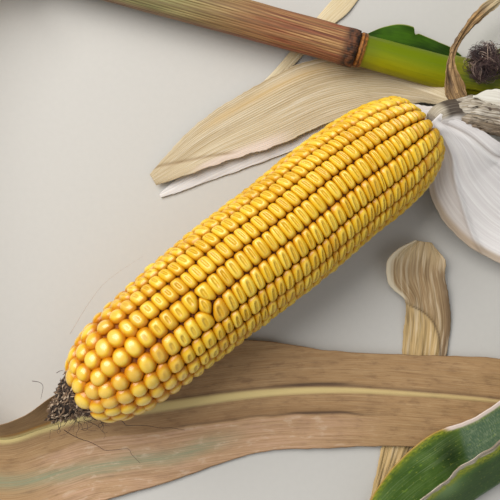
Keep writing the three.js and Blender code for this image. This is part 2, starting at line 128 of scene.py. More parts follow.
LEAF_GREEN = [
    [262, 12.4, 12.5, 9, 9, 84, -76], [238, 5.5, 13, 15, 15, 100, -30],
    [211.5, -14, 9.4, 22, 22, 114, -8], [180, -43, 7.2, 28, 26, 130, 0],
    [146, -70.5, 7, 32, 28.5, 139, 0], [113.3, -94.9, 7.1, 32, 29.5, 140, 0],
    [94.3, -107.4, 7.1, 31.5, 33.5, 140, -1], [76.5, -121.6, 5.4, 28, 29.6, 136, 0],
    [63, -143, 3.6, 20, 20, 110, 3], [56, -168, 2.6, 11, 11, 50, 4], [53, -190.7, 1.8, 1.1, 1.1, 10, 4],
]
HUSK_TAN = [
    [83.6, 59.4, 21.8, 2.5, 2.5, 0, 0], [78.2, 64.2, 13.6, 4.6, 5, -46, 10],
    [67, 69.6, 6.6, 8.4, 9, -16, 6], [52.9, 71.9, 3.7, 11.3, 11.7, 0, 0],
    [30.3, 68, 3.2, 13.9, 14.7, 0, 0], [6.1, 56.7, 3.2, 13.4, 14.3, 4, 2],
    [-14.3, 46.3, 3.3, 9.5, 12.1, 8, 3], [-29.4, 37.2, 3.1, 6.1, 8.2, 10, 4],
    [-41.6, 29.9, 2.8, 2.6, 3.5, 0, 0],
]
HUSK_INNER = [
    [78, 55.6, 20.6, 2.4, 2.4, 0, 0], [72.5, 57.4, 11.4, 4, 3.6, 0, 0], [62, 58.6, 3.4, 6.2, 5.6, 0, 0],
    [47.8, 58.3, 1, 7.8, 7, 0, 0], [26.1, 53.9, 0.8, 7.8, 8.7, 0, 0], [5.2, 45.2, 0.8, 7, 7.8, 0, 0],
    [-15.2, 36.1, 0.9, 5.2, 6.1, 0, 0], [-30.4, 27.8, 1, 2.6, 3.5, 0, 0], [-39, 23.4, 1, 1, 1.3, 0, 0],
]
HUSK_WHITE = [
    [72.6, 51.6, 31.4, 2.8, 3.6, -6, -10], [83.2, 40.8, 26, 11.4, 14, 4, -26],
    [92.2, 28, 18, 21, 19.3, 4, -10], [107.1, 15.1, 11.5, 27, 19.7, 4, -4],
    [127.4, 5.9, 8.5, 23.8, 17, 6, 2], [148.5, 0, 7, 15.4, 10.2, 8, 6], [165, -2.4, 6, 1.3, 1.3, 0, 0],
]
LEAF_STRIP = [
    [75, 3.6, 3.2, 3.6, 4.6, 0, 6], [74, -3.4, 2.8, 10.2, 14.6, 10, 12],
    [73.6, -10.4, 2.2, 10.6, 16.2, 10, 12], [75.5, -20.6, 1.7, 10.4, 9.2, 8, 6],
    [76.8, -34.7, 1, 10.4, 10.4, 0, 0], [73.4, -56.5, 1, 8.7, 8.7, 0, 0], [66, -78.2, 1, 7.4, 7.4, 0, 0],
    [60, -99.9, 0.8, 6.1, 6.1, 0, 0], [52.1, -126, 0.8, 3.5, 3.9, 0, 0],
    [44.3, -147.7, 0.8, 0.8, 0.8, 0, 0],
]
HUSK_RIBBON = [
    [-6, 62.6, 1.5, 1.2, 1.2, 0, 0], [5.2, 69.6, 1.5, 2.2, 2.2, 0, 0], [15.2, 79.8, 1, 2.4, 2.4, 0, 0],
    [31.3, 98.2, 0.8, 3.5, 3.5, 0, 0], [40.8, 107.6, 0.8, 4.3, 4.3, 0, 0],
    [53, 120.7, 0.8, 1.2, 1.2, 0, 0],
]
HUSK_CURL = [
    [84.2, 58.6, 26.4, 3.4, 3.4, 0, 0], [81.7, 63.4, 27.4, 4.7, 4.3, -10, -10],
    [80.1, 69, 27.6, 3.2, 3, 0, 20], [80.1, 75.6, 26.5, 2, 1.6, 30, 30], [83, 83.4, 25, 1.6, 1.6, 40, 0],
    [89.1, 91.2, 24, 2, 2, 10, -20], [96.8, 98.4, 22, 2.8, 2.4, -20, -10], [107.9, 106.3, 19, 1, 1, 0, 0],
]
HUSK_CREAM = [
    [87.5, 60.2, 30.4, 2, 2, -14, 14], [95, 60, 29.6, 3.6, 3, -14, 16],
    [104, 58.4, 28.6, 4.4, 3.6, -14, 18], [114, 57, 27, 3.6, 3, -14, 18], [126, 58, 24, 1.2, 1.2, 0, 0],
]
SHEATH_FLAP = [
    [88.5, 79.6, 7.2, 2, 3.6, 0, 0], [81.5, 83.2, 7.4, 2.4, 5.2, 0, 0], [74.6, 86.4, 7.2, 4.4, 5.8, 0, 0],
    [65, 89.2, 7, 8.4, 6.8, 0, 0], [57.4, 90.4, 6.8, 6.2, 5, 0, 0], [49.4, 90.8, 6.6, 1, 1.2, 0, 0],
]


# --- Sizes and colours to change ---


def screen(red, green, blue):
    """A colour as a screen shows it, 0 to 255 a channel, as linear light."""
    levels = [c / 255 for c in (red, green, blue)]
    return tuple(c / 12.92 if c <= 0.04045 else ((c + 0.055) / 1.055) ** 2.4 for c in levels)


def size(name, description, default):
    return FloatProperty(
        name=name, description=description, default=default, subtype="DISTANCE", unit="LENGTH"
    )


def hue(name, description, *channels):
    return FloatVectorProperty(
        name=name, description=description, default=screen(*channels), subtype="COLOR", min=0, max=1
    )


class EarLook(bpy.types.PropertyGroup):
    """The ripe ear"""

    rows: IntProperty(name="Rows", description="Rows of kernels round the ear", default=18)
    crown: size("Crown height", "How far a kernel stands above the furrow between two rows", 2.3 * MM)
    dent: size("Dent depth", "How deep the dent in a ripe kernel is", 0.68 * MM)
    gold: hue("Gold", "Body of a kernel", 230, 182, 14)
    amber: hue("Amber", "Sides of a kernel, deep in the furrows", 198, 132, 2)
    straw: hue("Straw", "Paler crown of a kernel", 246, 216, 88)
    chaff: hue("Chaff", "Red brown chaff between the kernels", 96, 34, 12)


class StalkLook(bpy.types.PropertyGroup):
    """Stalk and leaf sheaths"""

    rib_pitch: size("Rib pitch", "From one rib of a dry sheath to the next", 1.05 * MM)
    green: hue("Green", "Fresh rind of the stalk", 104, 120, 0)
    lime: hue("Lime", "Sunlit rind of the stalk", 156, 150, 14)
    ring: hue("Ring", "Ring below a node", 52, 32, 20)
    lip: hue("Lip", "Lip of a node", 172, 112, 52)
    sheath: hue("Dry sheath", "Dry sheath round the upper stalk", 158, 114, 72)
    sheath_red: hue("Red streaks", "Streaks along the dry sheath", 138, 66, 42)
    pith: hue("Pith", "Cut end of the stalk", 214, 204, 160)


class LeafLook(bpy.types.PropertyGroup):
    """Leaves"""

    thickness: size("Thickness", "Thickness of a leaf blade", 0.45 * MM)
    dry: hue("Dry leaf", "Dry leaf", 160, 124, 82)
    dry_pale: hue("Dry leaf, pale", "Pale streaks along the dry leaf", 186, 154, 112)
    dry_dark: hue("Dry leaf, dark", "Dark streaks along the dry leaf", 112, 82, 54)
    rib: hue("Midrib", "Midrib of the dry leaf", 230, 208, 142)
    green: hue("Green leaf", "Near face of the green leaf", 60, 88, 28)
    green_back: hue("Green leaf, pale", "Paler clouds on the green leaf", 82, 108, 46)
    margin: hue("Margin", "Dry margin of the green leaf", 206, 194, 176)


class HuskLook(bpy.types.PropertyGroup):
    """Husks"""

    thickness: size("Thickness", "Thickness of a husk", 0.4 * MM)
    tan: hue("Tan husk", "Outer husk", 186, 167, 130)
    white: hue("White husk", "Large husk under the ear's foot", 228, 222, 219)
    shade: hue("Husk fold", "Reverse of the white husk", 186, 170, 158)
    cream: hue("Cream husk", "Strip over the ear's foot", 214, 208, 194)
    brown: hue("Brown husk", "Curled strip", 124, 96, 62)
    mould: hue("Stained husk", "Stained feet of the husks", 150, 136, 114)
    wrap: hue("Green husk", "Husks of the second ear", 132, 146, 72)


class SilkLook(bpy.types.PropertyGroup):
    """Dried silk"""

    clumps: IntProperty(name="Clumps", description="Clumps in the tuft of the second ear", default=130)
    hairs: IntProperty(name="Hairs", description="Hairs in a clump", default=7)
    tip_hairs: IntProperty(name="Tip hairs", description="Fine hairs below the ripe ear's tip", default=34)
    hair: size("Hair thickness", "Thickness of one dried silk", 0.24 * MM)
    silk: hue("Silk", "Dried silk", 82, 58, 56)
    scale: hue("Scales", "Dried scales on the bare tip", 118, 92, 68)


class StageLook(bpy.types.PropertyGroup):
    """Floor, light and camera"""

    floor: hue("Floor", "Plain floor", 196, 193, 187)
    height: size("Camera height", "Height of the camera above the floor", 302.8 * MM)
    lens: FloatProperty(name="Lens", description="Focal length in millimetres", default=50)
    key: FloatProperty(name="Key light", description="Strength of the key light", default=12.6)
    fill: FloatProperty(name="Sky", description="Strength of the light from all round", default=0.31)


LOOKS = {
    "maize_ear": EarLook,
    "maize_stalk": StalkLook,
    "maize_leaf": LeafLook,
    "maize_husk": HuskLook,
    "maize_silk": SilkLook,
    "maize_stage": StageLook,
}


# --- Shader expressions ---


class Term:
    """A shader value in an expression: + - * / on it add Math nodes to its finish."""

    def __init__(self, finish, socket):
        self.finish = finish
        self.socket = socket

    def math(self, operation, *values):
        return self.finish.node("ShaderNodeMath", {"operation": operation}, values)

    def __add__(self, other):
        return self.math("ADD", self, other)

    __radd__ = __add__

    def __sub__(self, other):
        return self.math("SUBTRACT", self, other)

    def __rsub__(self, other):
        return self.math("SUBTRACT", other, self)

    def __mul__(self, other):
        return self.math("MULTIPLY", self, other)

    __rmul__ = __mul__

    def __truediv__(self, other):
        return self.math("DIVIDE", self, other)

    def sine(self):
        return self.math("SINE", self)

    def size(self):
        return self.math("ABSOLUTE", self)

    def between(self, low, high):
        """Rises smoothly from 0 at low to 1 at high; falls if high is the lower."""
        values = {0: self, 1: min(low, high), 2: max(low, high), 3: 0.0, 4: 1.0}
        rise = self.finish.node("ShaderNodeMapRange", {"interpolation_type": "SMOOTHSTEP"}, values)
        return rise if low < high else 1 - rise


class Finish:
    """A material and its nodes."""

    def __init__(self, name, **constants):
        self.material = bpy.data.materials.new(name)
        self.material.use_nodes = True
        self.tree = self.material.node_tree
        self.shader = self.tree.nodes["Principled BSDF"]
        for socket, value in constants.items():
            self.shader.inputs[socket.replace("_", " ")].default_value = value

    def node(self, kind, settings=None, values=(), output=0):
        node = self.tree.nodes.new(kind)
        for key, value in (settings or {}).items():
            setattr(node, key, value)
        for key, value in values.items() if isinstance(values, dict) else enumerate(values):
            self.feed(node.inputs[key], value)
        return Term(self, node.outputs[output])

    def feed(self, socket, value):
        if isinstance(value, Term):
            self.tree.links.new(value.socket, socket)
        elif socket.type == "RGBA":
            socket.default_value = (*value[:3], 1.0)
        else:
            socket.default_value = value

    def fields(self, names):
        """Numbers kept at each point of the mesh, by their names."""
        return [
            self.node("ShaderNodeAttribute", {"attribute_name": name}, output="Fac") for name in names.split()
        ]

    def speckle(self, scale, detail=3.0):
        """Even noise, with the point's own place in metres times the scale."""
        place = self.node("ShaderNodeTexCoord", output="Object")
        return self.noise(place, scale, detail, 0.55)

    def grain(self, x, y, z=0.0, detail=3.0, rough=0.55):
        """Noise along a blade or a stem: x and y are its own distances, each over the length of a mark."""
        return self.noise(self.node("ShaderNodeCombineXYZ", None, [x, y, z]), 1.0, detail, rough)

    def noise(self, at, scale, detail, rough):
        values = {"Vector": at, "Scale": scale, "Detail": detail, "Roughness": rough, "Distortion": 0.0}
        return self.node("ShaderNodeTexNoise", None, values, output="Fac")

    def mix(self, factor, first, second):
        settings = {"data_type": "RGBA", "blend_type": "MIX", "clamp_factor": True}
        return self.node("ShaderNodeMix", settings, {0: factor, 6: first, 7: second}, output=2)

    def layers(self, colour, *coats):
        """Lays coats over a colour one after the other; each is how much of it shows, and its colour."""
        for share, coat in coats:
            colour = self.mix(share, colour, coat)
        return colour

    def finished(self, colour, roughness=None, height=None, distance=0.0003, strength=1.0):
        self.feed(self.shader.inputs["Base Color"], colour)
        if roughness is not None:
            self.feed(self.shader.inputs["Roughness"], roughness)
        if height is not None:
            values = {"Height": height, "Distance": distance, "Strength": strength}
            self.feed(self.shader.inputs["Normal"], self.node("ShaderNodeBump", None, values))
        return self.material


# --- Shapes ---


def follow(rows, t):
    """Reads a table of stations as smooth curves, one a column, at each t from 0 to 1."""
    table = np.asarray(rows, float)
    last = len(table) - 1
    at = np.asarray(t, float) * last
    i = np.clip(np.floor(at).astype(int), 0, last - 1)
    f = (at - i)[..., None]
    b, c = table[i], table[i + 1]
    a = np.where((i > 0)[..., None], table[np.maximum(i - 1, 0)], 2 * b - c)
    d = np.where((i < last - 1)[..., None], table[np.minimum(i + 2, last)], 2 * c - b)
    return b + 0.5 * f * (c - a + f * (2 * a - 5 * b + 4 * c - d + f * (3 * (b - c) + d - a)))


def unit(vectors):
    return vectors / np.maximum(np.linalg.norm(vectors, axis=-1, keepdims=True), 1e-9)


def smooth(low, high, x):
    """Rises smoothly from 0 at low to 1 at high."""
    f = np.clip((np.asarray(x, float) - low) / (high - low), 0, 1)
    return f * f * (3 - 2 * f)


def bump_at(x, y, width, height=None):
    """A soft ridge or spot: 1 at 0, down to 0 some widths away."""
    return np.exp(-((x / width) ** 2)) * (1.0 if height is None else np.exp(-((y / height) ** 2)))


def window(x, up, full, fading, gone):
    """Rises from 0 at up to 1 at full, and falls from 1 at fading to 0 at gone."""
    return smooth(up, full, x) * smooth(gone, fading, x)


def waves(x, y, spacing, seed):
    """Soft uneven waves from about -1 to 1, some `spacing` apart."""
    count = 6
    draw = np.random.default_rng(seed)
    total = 0.0
    for _ in range(count):
        way = draw.uniform(0, TURN)
        pace = TURN / spacing * draw.uniform(0.7, 1.4)
        total = total + np.sin(pace * (x * math.cos(way) + y * math.sin(way)) + draw.uniform(0, TURN))
    return total / math.sqrt(count) / 1.2


def ring_angles(count):
    """Angles spread evenly once round."""
    return np.linspace(0, TURN, count + 1)[:-1]


def signed(angle):
    """The same angle, from half a turn back to half a turn on."""
    return (angle + math.pi) % TURN - math.pi


def limb_frame(rows, t):
    """Centres along a limb, and its directions: along, to the side, to the top."""
    centre = follow(rows, t)[..., :3]
    along = unit(follow(rows, t + NUDGE)[..., :3] - follow(rows, t - NUDGE)[..., :3])
    side = unit(np.cross(along, UP))
    return centre, along, side, np.cross(side, along)


def limb_grid(rows, t, angle, lift=0.0):
    """Points round a limb, a row for each t; the angle runs from its top towards its side."""
    centre, _, side, top = (part[:, None, :] for part in limb_frame(rows, t))
    angle = np.broadcast_to(angle, (len(t), np.shape(angle)[-1]))
    radius = follow(rows, t)[:, 3:4] + lift + 0 * angle
    spoke = np.sin(angle)[..., None] * side + np.cos(angle)[..., None] * top
    return centre + spoke * radius[..., None]


def blade_grid(rows, t, s):
    """Points of a leaf's middle surface; s runs from -1 at its left margin to 1 at its right margin."""
    station = follow(rows, t)
    along = follow(rows, t + NUDGE)[:, :2] - follow(rows, t - NUDGE)[:, :2]
    left = unit(np.stack([-along[:, 1], along[:, 0]], 1))
    right_side = s[None, :] >= 0
    reach = s[None, :] * np.where(right_side, station[:, 4:5], station[:, 3:4])
    lift = np.radians(np.where(right_side, station[:, 6:7], station[:, 5:6]))
    points = np.repeat(station[:, None, :3], len(s), 1)
    points[..., :2] += left[:, None, :] * (-reach * np.cos(lift))[..., None]
    points[..., 2] += np.abs(reach) * np.sin(lift)
    return points, reach


def length_along(points):
    """Distance along a line of points."""
    return np.concatenate([[0.0], np.cumsum(np.linalg.norm(np.diff(points, axis=0), axis=1))])


def along_limb(rows, t, like):
    """Distance along a limb or a blade at each t, over a grid of that shape."""
    return length_along(follow(rows, t)[:, :3])[:, None] + 0 * like


def face_normals(grid):
    return unit(np.cross(np.gradient(grid, axis=1), np.gradient(grid, axis=0)))


def quads(index):
    """Quads between the rows and columns of a grid of point numbers."""
    return np.stack([index[:-1, :-1], index[:-1, 1:], index[1:, 1:], index[1:, :-1]], -1).reshape(-1, 4)


def fan_round(index, middle):
    """Triangles between a ring of point numbers and the point in its middle."""
    return [(middle, b, a) for a, b in zip(index[:-1], index[1:])]


# A direction that no hair runs in, to set its sides by
HAIR_SIDE = np.array([0.31, 0.17, 0.93])


class Body:
    """Points, faces and point fields that are gathered into one mesh."""

    def __init__(self):
        self.points = []
        self.faces = []
        self.fields = []
        self.count = 0

    def add(self, points, faces, **fields):
        points = np.asarray(points, float).reshape(-1, 3)
        self.points.append(points)
        self.faces.extend((np.asarray(f) + self.count).tolist() for f in faces)
        self.fields.append({name: np.broadcast_to(value, len(points)) for name, value in fields.items()})
        self.count += len(points)

    def sheet(self, middle, thickness, **fields):
        """A thin closed sheet round a grid of points."""
        rows, columns = middle.shape[:2]
        total = rows * columns
        half = np.broadcast_to(np.asarray(thickness, float) / 2, (rows, columns))[..., None]
        out = face_normals(middle) * half
        index = np.arange(total).reshape(rows, columns)
        rim = np.concatenate([index[0], index[1:, -1], index[-1, -2::-1], index[-2:0:-1, 0]])
        after = np.roll(rim, -1)
        edge = np.stack([after, rim, rim + total, after + total], 1)
        faces = np.concatenate([quads(index), quads(index + total)[:, ::-1], edge])
        points = np.concatenate([(middle + out).reshape(-1, 3), (middle - out).reshape(-1, 3)])
        for name, value in fields.items():
            fields[name] = np.tile(np.broadcast_to(value, (rows, columns)).ravel(), 2)
        self.add(points, faces, **fields)

    def tube(self, grid, **fields):
        """A closed tube: each row of the grid is a ring, and both ends are closed."""
        rows, columns = grid.shape[:2]
        index = np.arange(rows * columns).reshape(rows, columns)
        around = np.concatenate([index, index[:, :1]], 1)
        first, last = rows * columns, rows * columns + 1
        faces = [*quads(around), *fan_round(around[0], first)]
        faces += [(last, a, b) for _, b, a in fan_round(around[-1], last)]
        points = np.concatenate([grid.reshape(-1, 3), [grid[0].mean(0), grid[-1].mean(0)]])
        for name, value in fields.items():
            value = np.broadcast_to(value, (rows, columns))
            fields[name] = np.concatenate([value.ravel(), [value[0].mean(), value[-1].mean()]])
        self.add(points, faces, **fields)

    def hair(self, line, radius, **fields):
        """A thin thread along a line of points, finer at its end."""
        line = np.asarray(line, float)
        along = unit(np.gradient(line, axis=0))
        side = unit(np.cross(along, HAIR_SIDE))
        top = np.cross(side, along)
        angle = np.arange(4) * TURN / 4
        taper = radius * np.linspace(1, 0.45, len(line))[:, None, None]
        spoke = np.sin(angle)[None, :, None] * side[:, None] + np.cos(angle)[None, :, None] * top[:, None]
        self.tube(line[:, None] + spoke * taper, **fields)


def make_piece(name, body, material, slot, *nodes):
    """Adds a piece of the plant that stands for those solids."""
    mesh = bpy.data.meshes.new(name)
    points = (np.concatenate(body.points) - ORIGIN) * MM
    mesh.from_pydata(points.tolist(), [], body.faces)
    for field in sorted({key for part in body.fields for key in part}):
        values = np.concatenate(
            [part.get(field, np.zeros(len(at))) for part, at in zip(body.fields, body.points)]
        )
        mesh.attributes.new(field, "FLOAT", "POINT").data.foreach_set("value", values.astype(np.float32))
    mesh.materials.append(material)
    mesh.polygons.foreach_set("use_smooth", [True] * len(mesh.polygons))
    mesh.validate()
    mesh.update()
    piece = bpy.data.objects.new(name, mesh)
    bpy.context.scene.collection.objects.link(piece)
    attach(piece, "root")
    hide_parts(*nodes)
    return piece


class MakePiece:
    """What the operators share"""

    bl_options = {"REGISTER", "UNDO"}


# --- Blades: leaves and husks ---


def blade(rows, steps, across, thickness, veins=0.0, vein_pitch=2.0, ripple=0.0, ripple_size=24.0, seed=1,
          ragged=0.0, crown=0.0, reshape=None, paint=None, trim=None):
    """A leaf or husk as one thin sheet, with its veins, ripples, folds and ragged margins."""
    t = np.linspace(0, 1, steps + 1)
    s = np.linspace(-1, 1, across + 1)
    points, reach = blade_grid(rows, t, s)
    along = along_limb(rows, t, reach)
    share = s[None, :] + 0 * reach
    middle = points[:, len(s) // 2][:, None]
    for sign in (-1, 1):
        bite = waves(along, 0, 9, seed + 7 + sign) * 0.6 + waves(along, 0, 2.6, seed + sign) * 0.4
        inward = np.abs(share) ** 6 * (share * sign > 0) * ragged * (bite - 1)
        points = points + unit(points - middle) * inward[..., None]
    if trim is not None:
        points = points + (middle - points) * trim(along, share)[..., None]
    out = np.abs(share)
    lift = ripple * waves(along / 1.6, reach, ripple_size, seed) * out**1.3
    lift = lift + veins * np.cos(TURN * reach / vein_pitch) * smooth(1.0, 0.85, out)
    lift = lift + crown * (1 - out**2)
    if reshape is not None:
        lift = lift + reshape(along, reach, share)
    points = points + face_normals(points) * lift[..., None]
    body = Body()
    marks = paint(along, reach, share) if paint is not None else {}
    thickness = thickness * (1 - 0.5 * out**6)
    body.sheet(points, thickness, across=reach, along=along, edge=out, share=share, **marks)
    return body


# How far the threads of a papery blade stand out, in metres
PAPER_BUMP = 0.00012


def papery(name, base, pale, dark, thread=0.9, length=34.0, veins=1.2, rough=0.72, stain=0.35, seed=0.0,
           fan=None, lines=0.0):
    """A dry leaf or husk: fine threads along it, broad pale and dark bands, and fine veins.

    With a fan, its threads and veins spread and close with its width.
    """
    finish = Finish(name, Roughness=rough)
    across, along = finish.fields("across along")
    if fan is not None:
        across = finish.fields("share")[0] * fan
    fine = finish.grain(across / thread, along / length, seed, 5, 0.6)
    band = finish.grain(across / 5.5, along / (length * 1.6), seed + 4)
    patch = finish.grain(across / 12, along / 18, seed + 9, 4, 0.6)
    vein = (across * (TURN / veins)).sine()
    body = finish.layers(
        base,
        (fine.between(0.38, 0.68), pale),
        (band.between(0.5, 0.78) * 0.5, dark),
        (patch.between(0.52, 0.8) * stain, dark),
        (vein.between(0.5, 1) * 0.16, pale),
        (vein.between(-0.5, -0.95) * lines, dark),
    )
    return finish, body, fine * 0.85 + vein * 0.15


def finished_papery(*args, **settings):
    """A papery finish with nothing more on it."""
    finish, body, height = papery(*args, **settings)
    return finish.finished(body, None, height, PAPER_BUMP)


def fresh_finish(name, base, pale, dark, veins=1.2, rim=0.985, gloss=0.5):
    """A fresh sheath, leaf or husk: soft pale clouds, fine threads and veins, and a pale rim."""
    finish = Finish(name, Specular_IOR_Level=gloss)
    across, along, edge = finish.fields("across along edge")
    thread = finish.grain(across / 0.7, along / 26, detail=4)
    cloud = finish.grain(across / 8, along / 20, 5)
    vein = (across * (TURN / veins)).sine()
    body = finish.layers(
        base,
        (cloud.between(0.35, 0.7), pale),
        (thread.between(0.45, 0.75) * 0.45, dark),
        (vein.between(0.4, 1) * 0.12, pale),
        (edge.between(rim, rim + 0.04) * 0.6, screen(176, 176, 96)),
    )
    return finish.finished(body, 0.45 + thread * 0.2, thread, 0.0001)


# --- Ripe ear ---

EAR_T = np.linspace(0, 1, 1601)
EAR_REACH = length_along(follow(EAR, EAR_T))

# Rows of kernels on the near side of the ear. For each: the angle of the row from the top of the ear, at
# stations along its skin, and the furrows between its kernels, both as distances from the butt
KERNEL_ROWS = [
    ([(22, -56), (60, -60.2), (100, -63.5), (160, -65)],
     [22.2, 26.5, 30.2, 34.2, 38, 41.2, 44.2, 47, 49.7, 52.9, 56, 59.1, 62.7, 65.7, 69.1, 72.8, 76.2, 79.9,
      84.7, 88.9, 92.4, 95.3, 99.7, 104, 108.3, 113.3, 116.4, 120.3, 124.2, 128.4, 133.6, 138.3, 142.2,
      146.2, 151.1, 156.7]),
    ([(19, -37.2), (60, -41.5), (100, -44.5), (118, -42.5), (130, -46), (155, -49)],
     [18.2, 22.4, 25.4, 28.9, 32.5, 36, 40, 43, 45.6, 48.2, 51.6, 54.9, 57.6, 61, 64.3, 68.1, 71.5, 75.5,
      79.9, 85, 90, 94.3, 98.7, 102.9, 107.1, 110.6, 115, 119.6, 123.9, 128.2, 132.8, 137.2, 142.4, 147.3,
      153.1, 160.2]),
    ([(16.5, -20.5), (60, -23.2), (100, -24.8), (119, -22.5), (129, -25), (140, -25.8), (165, -27.8)],
     [15.8, 19.2, 22.7, 25.9, 30.3, 33.3, 36.7, 39.3, 42.6, 46.4, 49.4, 52.5, 55.8, 58.7, 62.7, 66.4, 69.8,
      73.7, 77.1, 81, 85.4, 89.3, 93.3, 96.9, 101.5, 105.4, 109.3, 113.9, 118.3, 122, 126.5, 131.1, 135.6,
      141, 146.4, 151.5, 158.1]),
    ([(14, -2.2), (60, -3.5), (100, -4.5), (118, -2.9), (124.5, -4.6), (140, -6.2), (166, -7.2)],
     [13, 16.6, 20.2, 23.7, 27.3, 30.8, 33.5, 37.2, 40.1, 42.8, 46.7, 50.2, 53.5, 56.5, 60.1, 63.6, 67.7,
      71.3, 74.8, 78.3, 82.6, 86.2, 89.8, 94.3, 98.2, 102.4, 106.7, 110.7, 115.4, 121.4, 127.1, 132.5,
      137.1, 142.5, 148.3, 154.1, 160.5, 166.3]),
    ([(12, 19.8), (60, 19.2), (100, 17.8), (118, 19.9), (124.7, 18), (140, 16), (158, 14.7), (167, 12)],
     [11.2, 15, 18.8, 23, 27.3, 30.6, 33.7, 37.5, 41.2, 43.1, 46.8, 50.1, 53.2, 57, 60, 64.6, 67.9, 71.5,
      75, 78.4, 82.4, 86.1, 89.9, 93.9, 98, 101.9, 106.8, 110.7, 115.2, 121.7, 127.8, 132.6, 137.3, 142.9,
      148.5, 154.7, 160.9, 167.2]),
    ([(14, 41.5), (60, 40.2), (100, 39.8), (120, 38.5), (140, 37.2), (155, 34.5), (163, 32)],
     [14, 18.4, 23.5, 27.5, 30.5, 34.4, 37.5, 41.2, 44.6, 47.6, 50.5, 53.7, 57.4, 61.2, 64.6, 68.6, 72,
      75.3, 77.9, 81.7, 85.5, 89.3, 93.3, 97, 101.1, 104.6, 109.5, 113.8, 117.8, 121.8, 126, 131.3, 135.7,
      141, 147.1, 152.3, 157.9, 163.9]),
    ([(24, 58.5), (60, 59.8), (100, 58.5), (150, 53.5), (160, 51)],
     [23.2, 26.8, 30.4, 33.7, 37, 40.8, 44, 47.4, 50.3, 53.3, 56.9, 60.6, 63.9, 68, 71.8, 74.5, 77.4, 80.8,
      84.5, 87.8, 91.9, 96.3, 100.4, 105.1, 108.3, 111.1, 115.3, 119.9, 123.8, 128.4, 133.3, 137.3, 143.1,
      148.4, 154.2, 160.1]),
]
# Round kernels past the ends of those rows: distance from the butt, angle from the top
TIP_KERNELS = [
    (161, -27.7), (167.2, -27.5), (173.8, -24.2), (179.8, -17.5), (163.4, -47.8), (169.6, -48),
    (176.4, -42.2), (169.3, -7.2), (175.2, 1.4), (183.2, 4.6), (170.4, 10.8), (166.9, 30.8), (172.7, 24.4),
    (178.8, 23), (163.4, 50.2), (170.1, 48.6), (175, 39), (181, -38), (182, 43),
]
# A small kernel wedged between two rows: where it stands, and its half width and half length
SMALL_KERNEL = {"reach": 121.3, "angle": 6.7, "wide": 4.5, "long": 2.9}
# Kernel pitch on the far side, as (distance from the butt, pitch)
PITCHES = [(12, 3.6), (60, 3.55), (90, 4.0), (115, 4.5), (130, 5.2), (150, 5.9)]
FAR_ROWS_END = 166.0
# Where rows start, and the pitch of the kernels that are added there
BUTT_KERNEL, BUTT_PITCH = 9.5, 3.7
LAST_KERNEL = 184.0
# Kernels that stand free round the far side of the tip: where, how far apart, and half their length
FAR_TIP_RINGS = (158, 164, 170, 176, 182)
FREE_APART = 5.2
FREE_HALF = 3.1
# Where along the ear its kernels grow shorter, lose their dent, stop leaning and turn round
SHORT_ZONE = (108, 134)
DENT_END = (136, 156)
LEAN_END = (150, 170)
ROUND_ZONE = (132, 158)
ROUND_HALF = 3.65
# The line along the ear that faces the camera, and how far round from it kernels count as near, were placed
# one by one at the tip, and are seen
NEAR_ANGLE = math.radians(-5)
NEAR_SIDE, PLACED_SIDE, SEEN_SIDE = (math.radians(angle) for angle in (48, 56, 100))
# One kernel: how far it leans and its dent turns, how square its outline is, the gap to its walls, what the
# furrow beside a row takes from it, how far its flank runs down, and the furthest it reaches to a side
KERNEL_LEAN = 0.4
DENT_LEAN = 0.22
SQUARENESS = 3.9
KERNEL_GAP = -0.04
FURROW = 0.2
FLANK = 1.6
WIDEST = 5.0
# Points round a kernel, and its rings from the middle to the flank, where it is seen and where it isn't
FINE_KERNEL = (26, np.array([0.14, 0.27, 0.38, 0.49, 0.6, 0.7, 0.79, 0.87, 0.93, 0.975, 1.0, 1.0]))
COARSE_KERNEL = (16, np.array([0.25, 0.45, 0.65, 0.82, 0.93, 1.0, 1.0]))
# Dried scales on the bare tip and on the end of the ear round it
TIP_SCALES, EAR_END_SCALES = 760, 430


def ear_radius(reach):
    return np.interp(reach, EAR_REACH, follow(EAR, EAR_T)[:, 3])


def ear_skin(reach, angle, lift):
    """Points over the ear: reach along its skin from the butt, angle from its top to its low side."""
    t = np.interp(reach, EAR_REACH, EAR_T)
    centre, along, side, top = limb_frame(EAR, t)
    step = follow(EAR, t + NUDGE) - follow(EAR, t - NUDGE)
    forward = np.linalg.norm(step[..., :3], axis=-1, keepdims=True)
    outward = step[..., 3:4]
    scale = np.hypot(forward, outward)
    spoke = np.cos(angle)[..., None] * top - np.sin(angle)[..., None] * side
    normal = (spoke * forward - along * outward) / scale
    return centre + spoke * ear_radius(reach)[..., None] + normal * np.asarray(lift)[..., None]


def kernel_rows(look):
    """All rows: the near ones as given, the others spread evenly over the far side."""
    draw = np.random.default_rng(11)
    rows = [(np.array(stations, float), furrows) for stations, furrows in KERNEL_ROWS]
    others = look.rows - len(rows)
    first, last = rows[0][0], rows[-1][0]
    places = np.array([20.0, 60.0, 100.0, 160.0])
    low = np.interp(places, last[:, 0], last[:, 1])
    high = np.interp(places, first[:, 0], first[:, 1]) + 360
    for other in range(others):
        share = (other + 1) / (others + 1)
        furrows = [draw.uniform(9, 13)]
        while furrows[-1] < FAR_ROWS_END:
            pitch = np.interp(furrows[-1], *zip(*PITCHES))
            furrows.append(furrows[-1] + pitch * draw.uniform(0.9, 1.1))
        rows.append((np.stack([places, low + (high - low) * share], 1), furrows))
    return rows


